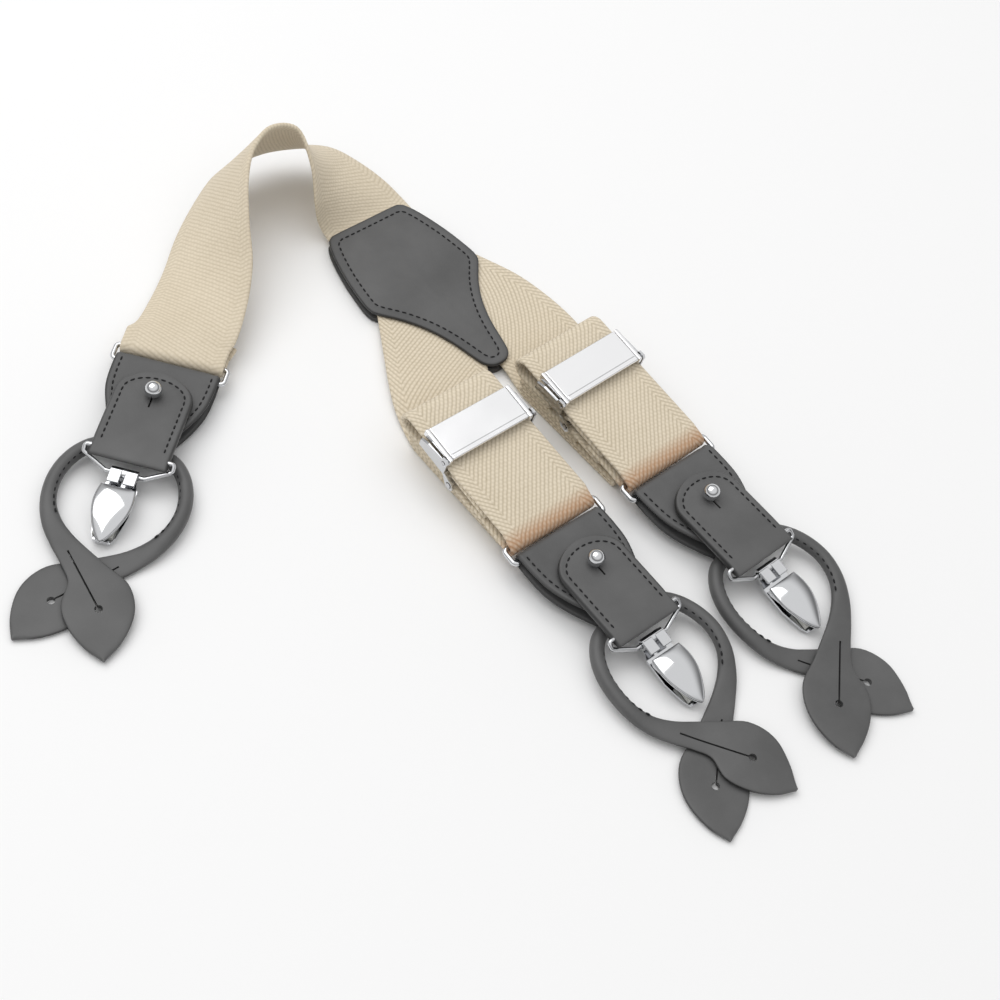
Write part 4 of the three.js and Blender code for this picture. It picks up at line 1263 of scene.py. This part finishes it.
def build_studs():
    under = -LEATHER - GAP
    profile = [(0, STUD_BALL_Z + STUD_BALL)]
    for i in range(1, 22):
        angle = pi / 2 - (pi / 2 + pi / 3.4) * i / 21
        profile.append((STUD_BALL * cos(angle), STUD_BALL_Z + STUD_BALL * sin(angle)))
    profile += [(STUD_NECK, 2 * GAP + TAB_THICK + 0.1), (STUD_NECK, under), (STUD_FOOT, under),
                (STUD_FOOT, under - STUD_FOOT_DEPTH), (0, under - STUD_FOOT_DEPTH)]
    for side in SIDES:
        piece = turned(f"{side}_ball_stud", profile, tab_frame(side), finish_named("chrome"))
        keep(piece, f"{side}_hanger_body", "chrome", f"{side}_stud")


def lever_rows():
    """The lever's cap: crowned, highest at its middle and drawn to a point."""
    rows, widths = [], smooth_table(LEVER_HALF_WIDTH)
    low, high = LEVER_HALF_WIDTH[-1][0], LEVER_HALF_WIDTH[0][0]
    for i in range(49):
        share = i / 48
        y = high + (low - high) * share
        crown = 1.25 * sqrt(max(1 - (1 - share) ** 8, 0.04)) * (1 - 0.75 * share ** 3)
        rise = 0.7 * sin(pi * share) - 0.9 * share ** 3
        rows.append((y, table_value(widths, y), 2.5 + rise, 1.35 + rise * 0.6, crown))
    return rows


def build_clips():
    """Each lever is a cap with two skirts; the clip hangs from its bail by two hooks."""
    chrome = finish_named("chrome")
    side_on = Matrix(((0, 0, 1, 0), (1, 0, 0, 0), (0, 1, 0, 0), (0, 0, 0, 1)))
    for side in SIDES:
        place = clip_frame(side)
        parts = [shell("cap", lever_rows(), place, chrome, 0.55, 26)]
        for low, high in LEVER_SIDES:
            parts.append(plate("skirt", LEVER_SIDE_VIEW, low, high, place @ side_on, chrome, 0.12, 2))
        lever = joined(f"{side}_lever_cap", parts)
        keep(lever, f"{side}_lever_body", "chrome", f"{side}_clip_lever")
        hooks = [box_shape("hook", (low, -4.4, 1.2), (high, 0.4, 2.15), place, chrome, 0.3)
                 for low, high in HOOK_SIDES]
        keep(joined(f"{side}_clip_hooks", hooks), f"{side}_clip_body", "chrome")


def build_adjusters():
    """Each cover is a raised face with a rolled rim, two end caps, and the teeth under it."""
    chrome = finish_named("cover")
    low, high = COVER_PIN_Y - 1.2, ADJUSTER_DEPTH / 2 + 0.6
    inner = COVER_HALF - 1.5
    edge = inner - 0.15
    boxes = [
        ("face", (-edge, low + 1, 3.3), (edge, high, 4.0), 0.25),
        ("rim", (-edge, low, 3.0), (edge, low + 2.1, 4.3), 0.55),
        ("back edge", (-inner, high - 0.7, 2.6), (inner, high, 3.9), 0.3),
        ("teeth", (-14, -3.2, 1.3), (14, -1.8, 3.4), 0.2),
        ("cap", (inner, low - 0.2, 1.4), (COVER_HALF, high + 0.2, 4.1), 0.4),
        ("cap", (-COVER_HALF, low - 0.2, 1.4), (-inner, high + 0.2, 4.1), 0.4),
    ]
    for side in FRONTS:
        place = adjuster_frame(side)
        parts = [box_shape(name, a, b, place, chrome, bevel) for name, a, b, bevel in boxes]
        cover = joined(f"{side}_cover_plate", parts)
        keep(cover, f"{side}_cover", "chrome", f"{side}_adjuster_cover")


def finish_carried_nodes():
    """The solids that stay as they are get the finish of their own slot."""
    slots = {part["node"]: part["material_slot"] for part in frame["record"]["subparts"]}
    for name, node in frame["nodes"].items():
        if not node.hide_render:
            node.data.materials.clear()
            node.data.materials.append(finish_named(slots[name]))


# Stage ---
def build_floor(settings):
    reach, level = 3.0, CAD_BOX[0].z - 0.0002
    mesh = bpy.data.meshes.new("floor")
    mesh.from_pydata([(-reach, -reach, level), (reach, -reach, level), (reach, reach, level),
                      (-reach, reach, level)], [], [(0, 1, 2, 3)])
    material, _, _ = new_material(
        "Matt white paper", Base_Color=linear(settings.floor_colour), Roughness=0.9,
        Specular_IOR_Level=0.1)
    mesh.materials.append(material)
    linked("floor", mesh)


def build_lights(settings):
    """A world that is bright overhead and at the backdrop's foot and dimmer between, so that
    plated parts have something to mirror, and one softbox."""
    world = bpy.data.worlds.new("Soft studio")
    world.use_nodes = True
    tree = world.node_tree
    direction = add_node(tree, "ShaderNodeTexCoord").outputs["Generated"]
    height = add_node(tree, "ShaderNodeSeparateXYZ", [direction]).outputs[2]
    strength = add_node(tree, "ShaderNodeValToRGB", {"Fac": height})
    ramp = strength.color_ramp
    ramp.interpolation = "EASE"
    bright, dim = settings.overhead_light, settings.side_light
    for place, value in ((0, bright), (0.1, bright * 0.9), (0.36, dim), (0.78, bright)):
        ramp.elements.new(place).color = (value, value, value, 1)
    ramp.elements.remove(ramp.elements[0])
    ramp.elements.remove(ramp.elements[-1])
    background = tree.nodes["Background"]
    background.inputs["Color"].default_value = (1, 1, 1, 1)
    tree.links.new(strength.outputs[0], background.inputs["Strength"])
    bpy.context.scene.world = world
    softbox = bpy.data.lights.new("key softbox", "AREA")
    softbox.shape = "RECTANGLE"
    softbox.size = softbox.size_y = 1.3
    softbox.energy = settings.key_power
    lamp = linked("key softbox", softbox)
    lamp.location = (-0.2, 0.5, 1.25)
    middle = (CAD_BOX[0] + CAD_BOX[1]) / 2
    lamp.rotation_euler = (middle - lamp.location).to_track_quat("-Z", "Y").to_euler()
    bpy.context.scene.view_settings.view_transform = "Standard"


def build_camera(settings):
    turn, lift, roll = (radians(value) for value in (
        settings.camera_turn, settings.camera_lift, settings.camera_roll))
    back = Vector((-sin(turn) * cos(lift), -cos(turn) * cos(lift),
                   sin(lift)))
    level_right = Vector((cos(turn), -sin(turn), 0))
    right = level_right * cos(roll) + back.cross(level_right) * sin(roll)
    data = bpy.data.cameras.new("camera")
    data.sensor_width = 36
    data.lens = settings.camera_lens
    data.clip_start = 0.01
    place = Matrix((right, back.cross(right), back)).transposed().to_4x4()
    place.translation = Vector(settings.camera_aim) + back * settings.camera_distance
    camera = linked("camera", data)
    camera.matrix_world = place
    bpy.context.scene.camera = camera


# Settings, operators and panel ---
class SuspenderSettings(bpy.types.PropertyGroup):
    webbing_light: StringProperty(
        name="Webbing, lit", description="Colour of the raised ribs", default="#E2D6C1")
    webbing_dark: StringProperty(
        name="Webbing, shaded", description="Colour between the ribs", default="#B3A58B")
    fold_colour: StringProperty(
        name="Webbing, rubbed", description="Colour where the webbing folds over a ring",
        default="#A87650")
    leather_light: StringProperty(
        name="Leather, lit", description="Lighter tone of the dyed leather", default="#606060")
    leather_dark: StringProperty(
        name="Leather, shaded", description="Darker tone of the dyed leather", default="#4B4B4B")
    thread_colour: StringProperty(
        name="Thread", description="Colour of the sewing thread", default="#1C1C1E")
    stitch_pitch: FloatProperty(
        name="Stitch pitch", description="Distance from stitch to stitch", default=2.5 * MM,
        min=0.001, unit="LENGTH")
    stitch_length: FloatProperty(
        name="Stitch length", description="Length of one stitch", default=1.8 * MM,
        min=0.0005, unit="LENGTH")
    thread_width: FloatProperty(
        name="Thread width", description="Thickness of the thread", default=0.65 * MM,
        min=0.0002, unit="LENGTH")
    floor_colour: StringProperty(
        name="Floor", description="Colour of the floor", default="#F4F4F4")
    overhead_light: FloatProperty(
        name="Overhead light", description="Strength of the light from above", default=0.95, min=0)
    side_light: FloatProperty(
        name="Side light", description="Strength of the light from the sides", default=0.24, min=0)
    key_power: FloatProperty(
        name="Key softbox", description="Power of the key softbox", default=8.5, min=0, unit="POWER")
    camera_turn: FloatProperty(
        name="Turn", description="Camera's heading, in degrees from +Y towards +X", default=48.51)
    camera_lift: FloatProperty(
        name="Lift", description="Camera's height above the horizon, in degrees", default=54.0)
    camera_roll: FloatProperty(
        name="Roll", description="Camera's tilt to one side, in degrees", default=14.35)
    camera_distance: FloatProperty(
        name="Distance", description="From the camera to what it looks at", default=0.5857,
        min=0.1, unit="LENGTH")
    camera_lens: FloatProperty(
        name="Lens", description="Focal length", default=65.9, min=10, unit="CAMERA")
    camera_aim: FloatVectorProperty(
        name="Aim", description="The point that the camera looks at",
        default=(-0.0353, -0.0865, 0.0091), subtype="XYZ", unit="LENGTH")


class SUSPENDERS_OT_stage(bpy.types.Operator):
    """Make the floor, the lights and the camera"""
    bl_idname = "suspenders.stage"
    bl_label = "Stage"

    def execute(self, context):
        settings = context.scene.suspenders
        build_floor(settings)
        build_lights(settings)
        build_camera(settings)
        return {"FINISHED"}


class SUSPENDERS_OT_webbing(bpy.types.Operator):
    """Weave the three straps and the sewn ends"""
    bl_idname = "suspenders.webbing"
    bl_label = "Webbing"

    def execute(self, context):
        build_webbing()
        return {"FINISHED"}


class SUSPENDERS_OT_crosspatch(bpy.types.Operator):
    """Cut and sew the crosspatch"""
    bl_idname = "suspenders.crosspatch"
    bl_label = "Crosspatch"

    def execute(self, context):
        build_crosspatch()
        return {"FINISHED"}


class SUSPENDERS_OT_hangers(bpy.types.Operator):
    """Fold and sew the three hangers"""
    bl_idname = "suspenders.hangers"
    bl_label = "Hangers"

    def execute(self, context):
        build_hangers()
        build_hanger_stitches()
        return {"FINISHED"}


class SUSPENDERS_OT_clip_tabs(bpy.types.Operator):
    """Cut and sew the clip tabs"""
    bl_idname = "suspenders.clip_tabs"
    bl_label = "Clip tabs"

    def execute(self, context):
        build_clip_tabs()
        return {"FINISHED"}


class SUSPENDERS_OT_button_loops(bpy.types.Operator):
    """Roll the button loops"""
    bl_idname = "suspenders.button_loops"
    bl_label = "Button loops"

    def execute(self, context):
        build_button_loops()
        return {"FINISHED"}


class SUSPENDERS_OT_wire_fittings(bpy.types.Operator):
    """Bend the rings and bails"""
    bl_idname = "suspenders.wire_fittings"
    bl_label = "Rings and bails"

    def execute(self, context):
        build_wire_fittings()
        return {"FINISHED"}


class SUSPENDERS_OT_studs(bpy.types.Operator):
    """Turn the ball studs"""
    bl_idname = "suspenders.studs"
    bl_label = "Ball studs"

    def execute(self, context):
        build_studs()
        return {"FINISHED"}


class SUSPENDERS_OT_clips(bpy.types.Operator):
    """Press the clip levers"""
    bl_idname = "suspenders.clips"
    bl_label = "Clip levers"

    def execute(self, context):
        build_clips()
        return {"FINISHED"}


class SUSPENDERS_OT_adjusters(bpy.types.Operator):
    """Press the adjusters' covers"""
    bl_idname = "suspenders.adjusters"
    bl_label = "Adjusters"

    def execute(self, context):
        build_adjusters()
        return {"FINISHED"}


class SUSPENDERS_OT_finishes(bpy.types.Operator):
    """Finish the solids that stay as they are"""
    bl_idname = "suspenders.finishes"
    bl_label = "Finishes"

    def execute(self, context):
        finish_carried_nodes()
        return {"FINISHED"}


OPERATORS = [
    SUSPENDERS_OT_stage,
    SUSPENDERS_OT_webbing,
    SUSPENDERS_OT_crosspatch,
    SUSPENDERS_OT_hangers,
    SUSPENDERS_OT_clip_tabs,
    SUSPENDERS_OT_button_loops,
    SUSPENDERS_OT_wire_fittings,
    SUSPENDERS_OT_studs,
    SUSPENDERS_OT_clips,
    SUSPENDERS_OT_adjusters,
    SUSPENDERS_OT_finishes,
]


class SUSPENDERS_PT_panel(bpy.types.Panel):
    bl_idname = "SUSPENDERS_PT_panel"
    bl_label = "Suspenders"
    bl_space_type = "VIEW_3D"
    bl_region_type = "UI"
    bl_category = "Suspenders"

    def draw(self, context):
        for name in SuspenderSettings.__annotations__:
            self.layout.prop(context.scene.suspenders, name)
        for item in OPERATORS:
            self.layout.operator(item.bl_idname)


CLASSES = [SuspenderSettings, *OPERATORS, SUSPENDERS_PT_panel]


def register():
    for item in CLASSES:
        bpy.utils.register_class(item)
    bpy.types.Scene.suspenders = PointerProperty(type=SuspenderSettings)


def unregister():
    del bpy.types.Scene.suspenders
    for item in reversed(CLASSES):
        bpy.utils.unregister_class(item)


def main():
    register()
    for item in OPERATORS:
        getattr(bpy.ops.suspenders, item.bl_idname.split(".")[1])()


if __name__ == "__main__":
    main()
